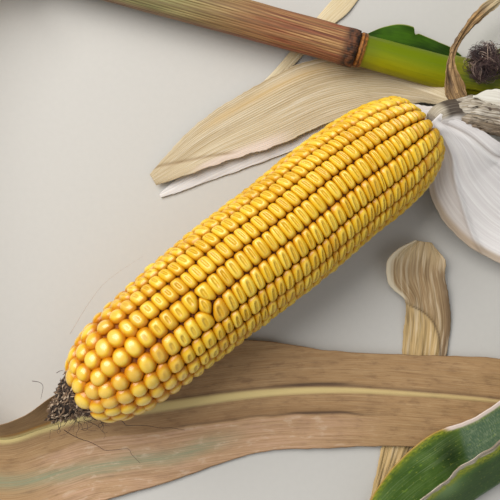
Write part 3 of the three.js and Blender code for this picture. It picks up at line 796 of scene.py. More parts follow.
def kernel_seats(look):
    """Each kernel's seat: reach, angle, half length, half width to either side, and if it stands free."""
    rows = kernel_rows(look)
    angles = [lambda at, s=stations: np.radians(np.interp(at, s[:, 0], s[:, 1])) for stations, _ in rows]
    seats = []
    for number, (_, furrows) in enumerate(rows):
        while furrows[0] > BUTT_KERNEL:
            furrows = [furrows[0] - BUTT_PITCH, *furrows]
        for start, end in zip(furrows[:-1], furrows[1:]):
            reach = (start + end) / 2
            angle = angles[number](reach)
            radius = float(ear_radius(reach))
            right = (angles[(number + 1) % len(rows)](reach) - angle) % TURN * radius / 2
            left = (angle - angles[number - 1](reach)) % TURN * radius / 2
            seats.append((reach, angle, (end - start) / 2, left, right, 0))
    free = [(reach, math.radians(angle)) for reach, angle in TIP_KERNELS]
    draw = np.random.default_rng(13)
    for reach in FAR_TIP_RINGS:
        radius = float(ear_radius(reach))
        for turn in ring_angles(3 * round(radius)):
            angle = turn + reach
            taken = np.array([seat[:2] for seat in seats] + free)
            apart = np.hypot(signed(angle - taken[:, 1]) * radius, reach - taken[:, 0]).min()
            if abs(signed(angle - NEAR_ANGLE)) > PLACED_SIDE and apart > FREE_APART:
                free.append((reach + draw.normal(0, 0.3), angle))
    seats += [(reach, angle, FREE_HALF, 0, 0, 1) for reach, angle in free]
    return np.array(seats)


def kernel_walls(seats):
    """The walls round each kernel, as bearings and distances from its seat, and how far it fills them."""
    reach, angle, half, left, right, free = seats.T
    small = SMALL_KERNEL
    slope = np.array([small["long"], small["wide"]]) / math.hypot(small["long"], small["wide"])
    inner = small["wide"] * slope[0]
    walls = []
    for i in range(len(seats)):
        x = signed(angle - angle[i]) * (ear_radius(reach) + ear_radius(reach[i])) / 2
        y = reach - reach[i]
        apart = np.hypot(x, y)
        near = (apart < 12) & (apart > 0)
        if not free[i]:
            near &= free == 1
        bearing = np.arctan2(y, x)[near]
        share = ((apart**2 + half[i] ** 2 - half**2) / (2 * np.maximum(apart, 1e-6)))[near]
        if not free[i]:
            bearing = np.append(bearing, [0, math.pi, math.pi / 2, -math.pi / 2])
            share = np.append(share, [right[i] - FURROW, left[i] - FURROW, half[i], half[i]])
            x = (math.radians(small["angle"]) - angle[i]) * ear_radius(reach[i])
            y = small["reach"] - reach[i]
            if abs(x) < 6 and abs(y) < 5:
                way = math.atan2(math.copysign(slope[1], y), math.copysign(slope[0], x))
                bearing = np.append(bearing, way)
                share = np.append(share, abs(x) * slope[0] + abs(y) * slope[1] - inner)
        walls.append((bearing, np.maximum(share - KERNEL_GAP, 0.6), 1.12 if free[i] else 1.05))
    edge = math.atan2(slope[1], slope[0])
    around = np.array([edge, math.pi - edge, -edge, edge - math.pi])
    walls.append((around, np.full(4, inner - KERNEL_GAP), 1.03))
    return walls


def kernel_reach(walls, theta):
    """How far a kernel reaches in each direction theta between its walls."""
    bearing, share, full = walls
    facing = np.clip(np.cos(theta[:, None] - bearing[None, :]), 0, None) / share[None, :]
    return full / np.maximum((facing**SQUARENESS).sum(1) ** (1 / SQUARENESS), 1 / WIDEST)


def kernel_shape(look, draw, seat, walls, around, rings):
    """Points and fields of one kernel: its crown, its dent and its flanks down to the cob."""
    reach, angle, free = seat[0], seat[1], seat[5]
    quarter = kernel_reach(walls, np.array([0.0, math.pi / 2, math.pi, -math.pi / 2]))
    wide, long = (quarter[0] + quarter[2]) / 2, (quarter[1] + quarter[3]) / 2
    radius = float(ear_radius(reach))
    bulb = float(smooth(*ROUND_ZONE, reach))
    dented = 1 - float(smooth(*DENT_END, reach))
    short = float(smooth(*SHORT_ZONE, reach))
    lean = (1 - float(smooth(*LEAN_END, reach))) * (1 - free)
    # Outline: between its walls in the rows, an oval near the tip
    psi = np.arange(around) * TURN / around
    theta = np.arctan2(long * np.sin(psi), wide * np.cos(psi))
    oval = 1.06 * np.hypot(wide * np.cos(psi), long * np.sin(psi)) * (1 + 0.05 * free)
    oval = oval * (1 + max(0.0, ROUND_HALF / min(wide, long) - 1) * bulb)
    outline = kernel_reach(walls, theta)
    outline = outline + (np.maximum(oval, 0.93 * outline) - outline) * bulb
    rho = rings[:, None]
    x = rho * outline * np.cos(theta)
    y = rho * outline * np.sin(theta)
    turned = angle + x / radius
    skew = KERNEL_LEAN * lean * radius * (math.cos(angle - NEAR_ANGLE) - np.cos(turned - NEAR_ANGLE))
    # Crown: flat on top and steep at its sides
    deep = look.crown / MM * (0.72 + 0.28 * np.cos(theta) ** 2 + (0.75 - 0.28 * np.cos(theta) ** 2) * bulb)
    drop = deep * (1 - np.sqrt(np.clip(1 - rho ** (2.5 - 0.4 * bulb), 0, None)))
    crown = 1 - drop / deep
    # Dent: a hollow across the kernel with a lip round it
    xi = x / wide - draw.normal(0, 0.05)
    eta = (y - DENT_LEAN * lean * math.sin(angle - NEAR_ANGLE) * x) / long - draw.normal(0, 0.05)
    ring = ((np.abs(xi) / (0.5 - 0.2 * short)) ** 3 + (np.abs(eta) / (0.23 - 0.01 * short)) ** 3) ** (1 / 3)
    hollow = smooth(1.5, 0.4, ring) * dented
    lip = np.exp(-(((ring - 1.7) / 0.45) ** 2)) * dented
    depth = look.dent / MM * draw.uniform(0.6, 1.3) * (1 - 0.25 * short)
    tilt = draw.normal(0, 0.12, 2)
    top = 0.45 + 0.25 * bulb
    lift = top + draw.normal(0, 0.1) - drop - depth * hollow + 0.12 * lip * crown
    lift = lift + crown * (tilt[0] * x / wide + tilt[1] * y / long)
    lift[-1] = lift[-2] - FLANK
    fields = {
        "deep": np.clip(top - lift, 0, None) - depth * hollow,
        "dent": hollow,
        "lip": lip * crown,
        "tone": np.full(x.shape, draw.uniform(0, 1)),
        "bulb": np.full(x.shape, bulb),
    }
    return ear_skin(reach + y + skew, turned, lift), fields


def ear_kernels(look):
    """All kernels of the ear: those in rows on the near side and on the far side, and the round ones."""
    draw = np.random.default_rng(23)
    seats = kernel_seats(look)
    walls = kernel_walls(seats)
    small = [SMALL_KERNEL["reach"], math.radians(SMALL_KERNEL["angle"]), SMALL_KERNEL["long"], 0, 0, 0]
    seats = np.concatenate([seats, [small]])
    bodies = {"near": Body(), "side": Body(), "far": Body(), "round": Body()}
    for seat, wall in zip(seats, walls):
        facing = abs(signed(seat[1] - NEAR_ANGLE))
        seen = facing < SEEN_SIDE
        around, rings = FINE_KERNEL if seen else COARSE_KERNEL
        points, fields = kernel_shape(look, draw, seat, wall, around, rings)
        ring = np.arange(1, 1 + points.shape[0] * around).reshape(-1, around)
        closed = np.concatenate([ring, ring[:, :1]], 1)
        faces = [*quads(closed), *fan_round(closed[0], 0)]
        middle = points[0].mean(0, keepdims=True)
        values = {name: np.append(field[0].mean(), field) for name, field in fields.items()}
        if seat[0] > ROUND_ZONE[1] - 10:
            place = "round"
        else:
            place = "near" if facing < NEAR_SIDE else "side" if seen else "far"
        bodies[place].add(np.concatenate([middle, points.reshape(-1, 3)]), faces, **values)
    return bodies


def kernel_finish(look):
    finish = Finish("kernel skin", Coat_Roughness=0.24, Subsurface_Weight=0.05, Subsurface_Scale=1.0,
                    Subsurface_Radius=(0.002, 0.0011, 0.0003))
    deep, dent, lip, tone, bulb = finish.fields("deep dent lip tone bulb")
    mottle = finish.speckle(900)
    patch = finish.speckle(60, 2)
    crown = deep.between(0.7, 0.1)
    body = finish.layers(
        look.gold,
        (deep.between(0.4, 1.25), look.amber),
        (tone.between(0.45, 0.0) * 0.5, look.amber),
        (crown * (0.08 + tone.between(0.3, 1.0) * 0.6), look.straw),
        # The lip round the dent is paler: partly its own paler starch, partly a painted highlight
        (lip * 0.5, look.straw),
        (patch.between(0.5, 0.75) * 0.3, look.amber),
        (dent * 0.5, screen(216, 172, 26)),
        (dent * (1 - dent) * 1.7, screen(170, 122, 8)),
        (mottle.between(0.5, 0.8) * 0.18, look.straw),
        (deep.between(1.5, 2.4) * 0.9, look.chaff),
        (bulb * deep.between(0.5, 1.6) * 0.45, screen(214, 124, 12)),
        (bulb * crown * (0.35 + patch.between(0.4, 0.7) * 0.3), screen(246, 206, 104)),
    )
    finish.feed(finish.shader.inputs["Coat Weight"], (0.4 + bulb * 0.4) * deep.between(1.3, 0.5))
    rough = 0.3 + dent * 0.15 + mottle * 0.12 - bulb * 0.06
    return finish.finished(body, rough, mottle, 0.00006, 0.5)


def ear_cob(look):
    """The cob under the kernels, with its chaff."""
    body = Body()
    reach = np.linspace(0.0, EAR_REACH[-1] - 0.2, 150)
    r, a = np.meshgrid(reach, ring_angles(120), indexing="ij")
    bare = smooth(LAST_KERNEL - 2, LAST_KERNEL + 3, r)
    depth = (look.crown / MM + 0.1) * (1 - bare) + 0.5 * bare
    depth = np.minimum(depth, 0.55 * ear_radius(r))
    depth = depth + 0.22 * waves(r, a * 20, 1.7, 3)
    body.tube(ear_skin(r, -a, -depth), along=r)
    return body


def cob_finish(look):
    finish = Finish("cob chaff", Roughness=0.85)
    flecks = finish.speckle(1500)
    [along] = finish.fields("along")
    chaff = finish.layers(
        look.chaff,
        (flecks.between(0.4, 0.7), screen(150, 84, 22)),
        (along.between(140, 158) * flecks.between(0.25, 0.6) * 0.7, screen(150, 84, 14)),
        (along.between(181, 184), screen(66, 48, 36)),
    )
    return finish.finished(chaff, None, flecks, 0.0002)


def bud(length, width, height):
    """Rings of one small dried scale, from its foot to its point."""
    angle = np.arange(6) * math.pi / 3
    reach = np.array([-0.1, 0.15, 0.5, 0.8, 1.0])
    girth = np.array([0.35, 0.9, 1.0, 0.62, 0.12])
    x = girth[:, None] * np.cos(angle) * width / 2
    z = girth[:, None] * np.sin(angle) * height / 2 + height * 0.25
    return np.stack([x, np.repeat(reach[:, None] * length, 6, 1), z], -1)


def tip_scales():
    """Dried scales that cover the bare tip and the end of the ear round it."""
    draw = np.random.default_rng(31)
    body = Body()
    body.tube(limb_grid(EAR_TIP, np.linspace(0, 1, 24), ring_angles(32), -0.9), tone=0.05)

    def scale(at, forward, out, size):
        across = unit(np.cross(out, forward))
        turn = draw.normal(0, 0.75)
        forward, across = (
            forward * math.cos(turn) + across * math.sin(turn),
            across * math.cos(turn) - forward * math.sin(turn),
        )
        forward = unit(forward + out * draw.uniform(0.0, 0.8))
        out = np.cross(across, forward)
        if out @ (at - np.array(EAR_TIP[2][:3])) < 0:
            out = -out
        shape = bud(*(size * draw.uniform(*span) for span in ((1.0, 1.9), (0.35, 0.95), (0.2, 0.5))))
        grid = at + shape[..., :1] * across + shape[..., 1:2] * forward + shape[..., 2:] * out
        body.tube(grid, tone=draw.uniform(0, 1) ** 1.6 + np.linspace(0, 0.12, 5)[:, None])

    for _ in range(TIP_SCALES):
        place = draw.uniform(0, 0.97)
        turn = draw.uniform(0, TURN)
        if draw.uniform(0, 1) > 1.15 - place:
            continue
        centre, along, side, top = limb_frame(EAR_TIP, np.array(place))
        out = side * math.sin(turn) + top * math.cos(turn)
        radius = follow(EAR_TIP, np.array(place))[3]
        scale(centre + out * (radius - 0.7), along, out, 1.25)
    for _ in range(EAR_END_SCALES):
        reach = draw.uniform(LAST_KERNEL - 1, EAR_REACH[-1] - 0.5)
        turn = np.array(draw.uniform(0, TURN))
        at = ear_skin(np.array(reach), turn, np.array(-0.7))
        ahead = ear_skin(np.array(reach + 0.4), turn, np.array(-0.7))
        over = ear_skin(np.array(reach), turn, np.array(0.3))
        scale(at, unit(ahead - at), unit(over - at), 1.2)
    return body


def scale_finish(look):
    finish = Finish("dried scales", Roughness=0.8)
    [tone] = finish.fields("tone")
    speckle = finish.speckle(2200)
    body = finish.layers(
        screen(40, 28, 20),
        (tone.between(0.0, 0.45), look.scale),
        (tone.between(0.62, 1.05) * 0.8, screen(188, 166, 140)),
        (speckle.between(0.5, 0.8) * 0.35, screen(50, 36, 28)),
    )
    return finish.finished(body, None, speckle, 0.0001)


class MAIZE_OT_ear(MakePiece, bpy.types.Operator):
    """Makes the kernels of the ripe ear, the cob between them and its bare tip"""

    bl_idname = "maize.ear"
    bl_label = "Ripe ear"

    def execute(self, context):
        look = context.scene.maize_ear
        skin = kernel_finish(look)
        for place, kernels in ear_kernels(look).items():
            make_piece(f"{place}_kernels", kernels, skin, "kernels", "ear")
        make_piece("cob", ear_cob(look), cob_finish(look), "bare_tip", "ear")
        make_piece("tip_scales", tip_scales(), scale_finish(context.scene.maize_silk), "bare_tip", "ear_tip")
        return {"FINISHED"}


# --- Stalk and sheaths ---

STALK_LENGTH = float(np.linalg.norm(STALK_LOWER_CUT - STALK_UPPER_CUT))
STALK_ALONG = (STALK_LOWER_CUT - STALK_UPPER_CUT) / STALK_LENGTH
STALK_SIDE = unit(np.cross(STALK_ALONG, UP))
STALK_TOP = np.cross(STALK_SIDE, STALK_ALONG)


def on_stalk(at, angle, radius):
    """Points round the stalk: distance from the upper cut, angle from its top to the ripe ear's side."""
    spoke = np.sin(angle)[..., None] * STALK_SIDE + np.cos(angle)[..., None] * STALK_TOP
    return STALK_UPPER_CUT + np.asarray(at)[..., None] * STALK_ALONG + spoke * np.asarray(radius)[..., None]


def stalk_radius(at):
    radii = STALK_RADII
    first = STALK_NODES[0][0]
    upper = radii["upper"] + (radii["above_node"] - radii["upper"]) * at / first
    below = (at - first) / (STALK_LENGTH - first)
    lower = radii["below_node"] + (radii["lower"] - radii["below_node"]) * below
    radius = np.where(at < first, upper, lower)
    for place, girth in STALK_NODES:
        swell = np.exp(-(((at - place) / 1.6) ** 4))
        radius = radius + (girth - radius) * swell
    return radius


def stalk_body():
    body = Body()
    fine, coarse, by_node = 0.3, 1.8, 4
    at = [0.0, fine]
    while at[-1] < STALK_LENGTH - 2 * fine:
        near = min(abs(at[-1] - place) for place, _ in STALK_NODES)
        at.append(at[-1] + (fine if near < by_node else coarse))
    at = np.array(at + [STALK_LENGTH - fine, STALK_LENGTH])
    a, turn = np.meshgrid(at, ring_angles(96), indexing="ij")
    radius = stalk_radius(a)
    radius = radius + 0.05 * waves(a / 6, turn * 7, 3, 5)
    radius = radius - 0.5 * ((a < 0.1) | (a > STALK_LENGTH - 0.1))
    cut = ((a < 0.2) | (a > STALK_LENGTH - 0.2)).astype(float)
    # low rises towards the side of the stalk that faces the ripe ear, where its rind gets painted light
    body.tube(on_stalk(a, turn, radius), along=a, across=turn * 7, cut=cut, low=np.sin(turn))
    return body


def stalk_finish(look):
    finish = Finish("stalk rind", Specular_IOR_Level=0.16)
    along, across, cut, low = finish.fields("along across cut low")
    thread = finish.grain(across / 0.9, along / 40, detail=4)
    cloud = finish.grain(across / 9, along / 30, detail=2)
    wood = finish.grain(across / 1.6, along / 0.9, detail=4)
    lip = finish.mix(wood.between(0.35, 0.65), look.lip, screen(110, 70, 36))
    first = STALK_NODES[0][0]
    body = finish.layers(
        look.green,
        # Painted light: the rind paler lime on the side towards the ripe ear, as if sunlit there
        ((low + cloud * 0.5).between(0.1, 1.3), look.lime),
        (thread.between(0.5, 0.8) * 0.35, screen(84, 100, 12)),
        (along.between(first + 10, first + 2) * 0.45, screen(92, 100, 30)),
    )
    for place, _ in STALK_NODES:
        body = finish.layers(
            body,
            ((along - place + wood * 0.8).size().between(2.3, 1.5), lip),
            ((along - (place + 0.2)).size().between(0.55, 0.2) * 0.7, look.ring),
            ((along - (place - 3.2)).size().between(2.0, 1.2), look.ring),
        )
    body = finish.mix(cut.between(0.3, 0.9), body, look.pith)
    return finish.finished(body, 0.42 + thread * 0.2, thread, 0.00006)


def sheath(start, end, inner, wall, opening, middle, ribs, rib_height, steps, around, seed, swell=None):
    """A leaf sheath round the stalk. Its margins leave an opening, given at its two ends, in degrees."""
    body = Body()
    f = np.linspace(0, 1, steps + 1)[:, None]
    x = np.linspace(0, 1, around + 1)[None, :]
    at = start + (end - start) * f + 0 * x
    gap = opening[0] + (opening[1] - opening[0]) * f
    mid = middle[0] + (middle[1] - middle[0]) * f
    angle = np.radians(mid + gap / 2 + x * (360 - gap))
    first = STALK_NODES[0][0]
    girths = [STALK_RADII[place] for place in ("upper", "above_node", "below_node", "lower")]
    plain = np.interp(at, [0, first, first + 0.1, STALK_LENGTH], girths)
    turn = angle * plain
    radius = plain + inner + wall / 2
    radius = radius + rib_height * np.cos(ribs * angle + 0.6 * waves(at / 60, angle, 1.5, seed))
    radius = radius + 0.12 * waves(at / 5, turn, 5, seed + 1)
    if swell is not None:
        radius = radius + swell(at)
    body.sheet(on_stalk(at, angle, radius), wall, across=turn, along=at, edge=np.abs(2 * x - 1) + 0 * at)
    return body


def dry_sheath_finish(look):
    finish = Finish("dry sheath", Roughness=0.68)
    across, along = finish.fields("across along")
    thread = finish.grain(across / 0.5, along / 36, 0, 4, 0.6)
    band = finish.grain(across / 2.0, along / 50, 3)
    line = finish.grain(across / 0.4, along / 60, 11)
    smear = finish.grain(across / 2.2, along / 2.0, 8, 4)
    rib = (across * (TURN / (look.rib_pitch / MM))).sine()
    olive = finish.mix(thread.between(0.4, 0.7), screen(136, 134, 84), screen(168, 160, 108))
    burnt = finish.mix(smear.between(0.35, 0.65), screen(40, 26, 18), screen(112, 68, 40))
    body = finish.layers(
        look.sheath,
        (band.between(0.4, 0.66) * along.between(70, 150), look.sheath_red),
        (thread.between(0.5, 0.75) * 0.8, screen(204, 164, 108)),
        ((along - band * 30).between(132, 66), olive),
        (across.between(46.5, 49.5) * 0.55, screen(146, 98, 96)),
        (rib.between(0.1, -0.9) * (0.2 + band * 0.6), screen(78, 46, 28)),
        (line.between(0.55, 0.68) * 0.45, screen(84, 52, 34)),
        ((along + smear * 3.2).between(169.2, 173.2), burnt),
    )
    return finish.finished(body, None, rib * 0.4 + thread * 0.4, 0.00022)


class MAIZE_OT_stalk(MakePiece, bpy.types.Operator):
    """Makes the stalk with its nodes and cut ends, and the leaf sheaths round it"""

    bl_idname = "maize.stalk"
    bl_label = "Stalk and sheaths"

    def execute(self, context):
        look = context.scene.maize_stalk
        make_piece("stalk_rind", stalk_body(), stalk_finish(look), "stalk_rind", "stalk")

        def flare(at):
            return 0.3 * smooth(169, 172, at) - 0.25 * smooth(174.4, 175.4, at)

        dry = sheath(30, 175.4, inner=0.35, wall=1.05, opening=(16, 16), middle=(165, 165), ribs=48,
                     rib_height=0.11, steps=60, around=240, seed=2, swell=flare)
        make_piece("dry_sheath", dry, dry_sheath_finish(look), "dry_sheath", "sheath_upper")
        green = fresh_finish("green sheath", look.green, look.lime, screen(70, 88, 10))
        upper = sheath(214, 273, inner=0.3, wall=0.8, opening=(24, 96), middle=(64, 58), ribs=40,
                       rib_height=0.03, steps=30, around=120, seed=4)
        make_piece("ear_leaf_sheath", upper, green, "green_sheath", "sheath_ear")
        lower = sheath(398, 424.6, inner=0.3, wall=1.1, opening=(30, 30), middle=(-160, -160), ribs=44,
                       rib_height=0.04, steps=14, around=120, seed=6)
        make_piece("lower_leaf_sheath", lower, green, "green_sheath", "sheath_lower")

        def notch(along, share):
            step = window(along, 2, 12, 21.2, 22.4)
            return (0.26 * step + 0.14 * bump_at(along - 21.0, 0, 0.8)) * smooth(0.2, 0.8, share)

        flap = blade(SHEATH_FLAP, 110, 30, 0.6, ripple=0.3, ripple_size=9, seed=3, trim=notch)
        leafy = fresh_finish("leaf stub", screen(30, 54, 4), screen(58, 94, 6), screen(14, 28, 4), rim=0.93,
                             gloss=0.12)
        make_piece("leaf_stub", flap, leafy, "leaf_dark_green", "sheath_flap")
        return {"FINISHED"}


# --- Leaves ---


def dry_rib(along, across):
    """How wide the midrib of the dry leaf is, and where it shows."""
    width = 2.3 - 1.55 * smooth(300, 500, along)
    return width, np.exp(-((across / width) ** 4))


def dry_slits(along, across, width):
    """The two slits in the dry leaf."""
    return bump_at(along - 411, across + 2.7, 15, width) + bump_at(along - 413, across - 9.8, 13, width)


def dry_leaf_shape(along, across, share):
    """The midrib of the dry leaf, its shallow folds and its slits."""
    fold = 0.16 * waves(along / 9, across, 8, 71) * smooth(3, 8, np.abs(across))
    return 0.35 * dry_rib(along, across)[1] + fold - 0.35 * dry_slits(along, across, 0.8)


def dry_leaf_marks(along, across, share):
    """Where the midrib, cracks, slits and coloured bands of the dry leaf are, and the painted shade beside
    the midrib, in the slits and in the crack.
    """
    width, rib = dry_rib(along, across)
    shade = np.exp(-(((across + width + 0.5) / 0.7) ** 2)) * smooth(290, 330, along)
    crack = across - 9.9 - 0.5 * waves(along, 0, 22, 72)
    long_crack = bump_at(crack, 0, 0.45) * window(along, 322, 350, 420, 450)
    band = across - 22.6 + 0.0018 * (along - 318) ** 2 + 0.8 * waves(along, 0, 30, 73)
    dusk = window(crack, -6.5, -0.5, -0.4, 0.4)
    return {
        "rib": rib * (1 - 0.55 * smooth(330, 480, along)),
        # Painted shade beside the midrib, in the slits and in the crack
        "dark": np.clip(0.6 * shade + 1.2 * dry_slits(along, across, 0.7) + 0.6 * long_crack, 0, 1),
        "gold": bump_at(along - 288, across + 3.6, 14, 1.5),
        "pale": smooth(0.2, 1.6, crack) * smooth(270, 300, along) * smooth(450, 400, along),
        "dusk": dusk * window(along, 300, 350, 400, 450),
        "band": bump_at(band, 0, 3.4) * smooth(384, 352, along),
    }


def dry_leaf_finish(look):
    finish, body, height = papery(
        "dry leaf", look.dry, look.dry_pale, look.dry_dark, thread=0.32, length=20, veins=0.8, stain=0.5
    )
    across, along, dusk, pale, band = finish.fields("across along dusk pale band")
    gold, rib, dark, edge = finish.fields("gold rib dark edge")
    mottle = finish.grain(across / 2.6, along / 8, 14, 6, 0.62)
    streak = finish.grain(across / 0.7, along / 34, 2, 4, 0.6)
    body = finish.layers(
        body,
        (0.35, look.dry),
        (mottle.between(0.48, 0.72) * 0.5, look.dry_dark),
        (mottle.between(0.44, 0.28) * 0.35, look.dry_pale),
        (streak.between(0.54, 0.68) * 0.4, look.dry_dark),
        (dusk * 0.5, screen(132, 96, 60)),
        (pale * (0.25 + streak.between(0.55, 0.38) * 0.45), screen(198, 160, 132)),
        (band * (0.55 + streak.between(0.42, 0.6) * 0.35), screen(138, 142, 112)),
        (pale * mottle.between(0.46, 0.34) * 0.3, screen(212, 192, 170)),
        (gold * 0.7, screen(206, 150, 66)),
        (rib, look.rib),
        # Painted shade beside the midrib, in the slits and in the crack
        (dark * 0.85, screen(72, 50, 34)),
        (edge.between(0.97, 1.0) * 0.5, look.dry_dark),
    )
    return finish.finished(body, None, height * 0.6 + mottle * 0.4, 0.0001)


def strip_border(along):
    """Where the front of the twisted strip ends and its reverse shows, across the strip."""
    return -9 + 15.6 * np.exp(-(along - 26.4) / 8.5)


def strip_shape(along, across, share):
    """The front of the twisted strip over its reverse, its rolled rim and its lengthwise folds."""
    front = smooth(0.7, -0.7, across - strip_border(along))
    folds = 0.3 * np.sin(share * 9 + along / 8) + 0.16 * np.sin(share * 21 - along / 6)
    rim = 0.5 * bump_at(share - 0.9, 0, 0.12) * smooth(24, 14, along)
    return 0.9 * front * smooth(60, 46, along) + rim + folds * smooth(1.0, 0.8, np.abs(share))


def strip_marks(along, across, share):
    """Where the two faces of the twisted strip, the painted shadow along the border between them and its rim
    are.
    """
    border = across - strip_border(along)
    front = smooth(0.5, -0.5, border) * smooth(62, 46, along)
    brown = front * smooth(0.85, 0.5, share - smooth(6, 22, along) * 0.9)
    return {
        "brown": brown,
        # A painted shadow along the fold between the two faces
        "dark": bump_at(border - 0.8, 0, 0.7) * window(along, 24, 28, 46, 56),
        "reverse": 1 - front,
        "low": smooth(-0.45, -0.95, share) * smooth(8, 20, along),
        "top": smooth(13, 4, along),
        "rim": smooth(0.78, 0.92, share) * smooth(26, 20, along),
    }


def strip_finish():
    finish, body, height = papery(
        "twisted strip", screen(172, 146, 108), screen(218, 196, 156), screen(112, 86, 58), thread=0.5,
        length=30, veins=1.0, seed=2.0, fan=10.0, stain=0.6, lines=0.35
    )
    across, along, reverse, brown = finish.fields("across along reverse brown")
    low, top, rim, dark = finish.fields("low top rim dark")
    streak = finish.grain(across / 1.3, along / 20, 9)
    body = finish.layers(
        body,
        (reverse * 0.55, screen(196, 162, 98)),
        (brown * 0.5, screen(142, 108, 66)),
        (low * 0.7, screen(98, 74, 50)),
        (top * 0.5, screen(212, 188, 144)),
        (streak.between(0.53, 0.66) * 0.4, screen(104, 80, 54)),
        (streak.between(0.48, 0.36) * 0.4, screen(224, 206, 176)),
        (rim * 0.9, screen(226, 212, 184)),
        # Painted shadow along the fold between the two faces
        (dark * 0.8, screen(76, 56, 40)),
    )
    return finish.finished(body, None, height, PAPER_BUMP)


def green_leaf_shape(along, across, share):
    """The midrib of the green leaf and the roll of its folded margin."""
    rib = 0.4 * np.exp(-((across / 1.6) ** 4))
    wave = 0.5 * waves(along, 0, 11, 73) * smooth(-0.6, -1.0, share)
    return rib + wave - 0.6 * smooth(-0.91, -0.97, share) - 0.3 * bump_at(share + 0.885, 0, 0.025)


def green_leaf_marks(along, across, share):
    """Where the near face, its painted shadow, a painted sheen on the far face and the two margins of the
    green leaf are.
    """
    return {
        "near": smooth(-0.5, 0.5, across),
        "shadow": bump_at(along - 204.5 + 0.25 * (across - 21), across - 21, 5.5, 9) * (across > 0),
        "grey": smooth(200.5, 198, along + 0.35 * (across - 20)) * (across > 0),
        # A painted sheen: a paler patch on the far face
        "patch": bump_at(along - 214, across + 22, 7, 6) * (across < 0),
        "pink": smooth(203, 199, along),
        "roll": smooth(-0.87, -0.9, share + 0.025 * waves(along, 0, 5, 72)),
        "thin": smooth(0.972, 0.99, share) + smooth(0.93, 0.95, share) * smooth(203, 199, along),
        "beside": 0.55 * smooth(0.88, 0.98, share) + smooth(-0.68, -0.84, share),
        "deep": smooth(-0.82, -0.6, share),
    }


def green_leaf_finish(look):
    finish = Finish("green leaf", Specular_IOR_Level=0.35)
    across, along, grey, shadow, deep = finish.fields("across along grey shadow deep")
    patch, face, beside, pink, thin, roll = finish.fields("patch near beside pink thin roll")
    thread = finish.grain(across / 0.45, along / 22, detail=4)
    cloud = finish.grain(across / 6, along / 12, 3)
    cross = finish.grain(across / 2.2, along / 0.3, 5, 2)
    fleck = finish.grain(across / 0.8, along / 1.5, 6, 2)
    blotch = finish.grain(across / 2.4, along / 5, 8, 4, 0.6)
    near = finish.layers(
        look.green,
        (cloud.between(0.35, 0.65), look.green_back),
        (grey * 0.8, screen(84, 108, 86)),
        (thread.between(0.5, 0.72) * 0.4, screen(132, 150, 108)),
        (blotch.between(0.6, 0.7) * 0.5, screen(122, 152, 44)),
        (cross.between(0.52, 0.62) * grey * 0.55, screen(150, 162, 130)),
        # Painted shadow by the fold
        (shadow * 0.85, screen(22, 40, 10)),
    )
    far = finish.layers(
        screen(48, 84, 14),
        (cloud.between(0.35, 0.65), screen(74, 116, 24)),
        (deep * 0.75, screen(34, 66, 6)),
        # Painted sheen on the far face
        (patch * 0.75, screen(124, 156, 92)),
        (thread.between(0.5, 0.75) * 0.25, screen(104, 134, 50)),
    )
    body = finish.layers(
        far,
        (face, near),
        (beside * fleck.between(0.25, 0.6), screen(160, 166, 14)),
        (fleck.between(0.6, 0.74) * (0.3 + beside * 0.4), screen(176, 182, 78)),
        (thin, finish.mix(pink, screen(170, 128, 48), screen(222, 204, 194))),
        (roll, finish.mix(thread.between(0.42, 0.64), look.margin, screen(140, 118, 94))),
    )
    return finish.finished(body, 0.42 + thread * 0.15, thread, 0.0001)


class MAIZE_OT_leaves(MakePiece, bpy.types.Operator):
    """Makes the dry leaf, the strip torn from it and the green leaf"""

    bl_idname = "maize.leaves"
    bl_label = "Leaves"

    def execute(self, context):
        look = context.scene.maize_leaf
        thick = look.thickness / MM
        dry = blade(LEAF_DRY, 230, 96, thick, ripple=0.45, ripple_size=40, seed=5, ragged=0.22,
                    reshape=dry_leaf_shape, paint=dry_leaf_marks)
        nodes = ["leaf_dry_1", "leaf_dry_2", "leaf_dry_3", "leaf_dry_4"]
        make_piece("dry_leaf", dry, dry_leaf_finish(look), "dry_leaf", *nodes)
        strip = blade(LEAF_STRIP, 150, 50, thick, ripple=0.5, ripple_size=18, seed=8, ragged=0.3,
                      reshape=strip_shape, paint=strip_marks)
        make_piece("torn_strip", strip, strip_finish(), "twisted_leaf", "leaf_strip")
        green = blade(LEAF_GREEN, 180, 90, thick, veins=0.012, vein_pitch=1.4, ripple=0.35, ripple_size=26,
                      seed=9, ragged=0.12, reshape=green_leaf_shape, paint=green_leaf_marks)
        make_piece("green_leaf", green, green_leaf_finish(look), "green_leaf", "leaf_green_1", "leaf_green_2")
        return {"FINISHED"}


# --- Shank and husks ---


def white_fold(along):
    """Where the fold of the white husk runs, across it."""
    return 1.9 + 0.02 * along + 0.0053 * along**2


def white_second(along, across):
    """How far a point is past the second fold of the white husk."""
    return across + 0.6 + 0.436 * (along - 2.2)


def white_husk_shape(along, across, share):
    """Folds of the white husk, fanning from its foot."""
    past = across - white_fold(along)
    second = white_second(along, across)
    fan = 0.14 * np.sin(24 * across / (along + 9) + 1.0) * window(along, 0, 6, 25, 75)
    folds = 1.0 * bump_at(past, 0, 1.5) - 1.6 * smooth(0, 9, past)
    folds = folds - 0.8 * bump_at(second, 0, 0.9) + 0.6 * bump_at(second - 2.3, 0, 1.4)
    return (folds + fan) * smooth(0, 5, along) * smooth(1.0, 0.9, np.abs(share))


def white_husk_marks(along, across, share):
    """Where the folds and creases of the white husk are, which get painted shade on the folded part and along
    the creases.
    """
    past = across - white_fold(along)
    foot = smooth(0, 4, along)
    crease = 0.9 * bump_at(white_second(along, across), 0, 0.6) * smooth(50, 34, along)
    return {
        "fold": smooth(-0.2, 0.9, past) * foot,
        "crease": (0.6 * bump_at(past - 0.5, 0, 0.5) + crease) * foot,
    }


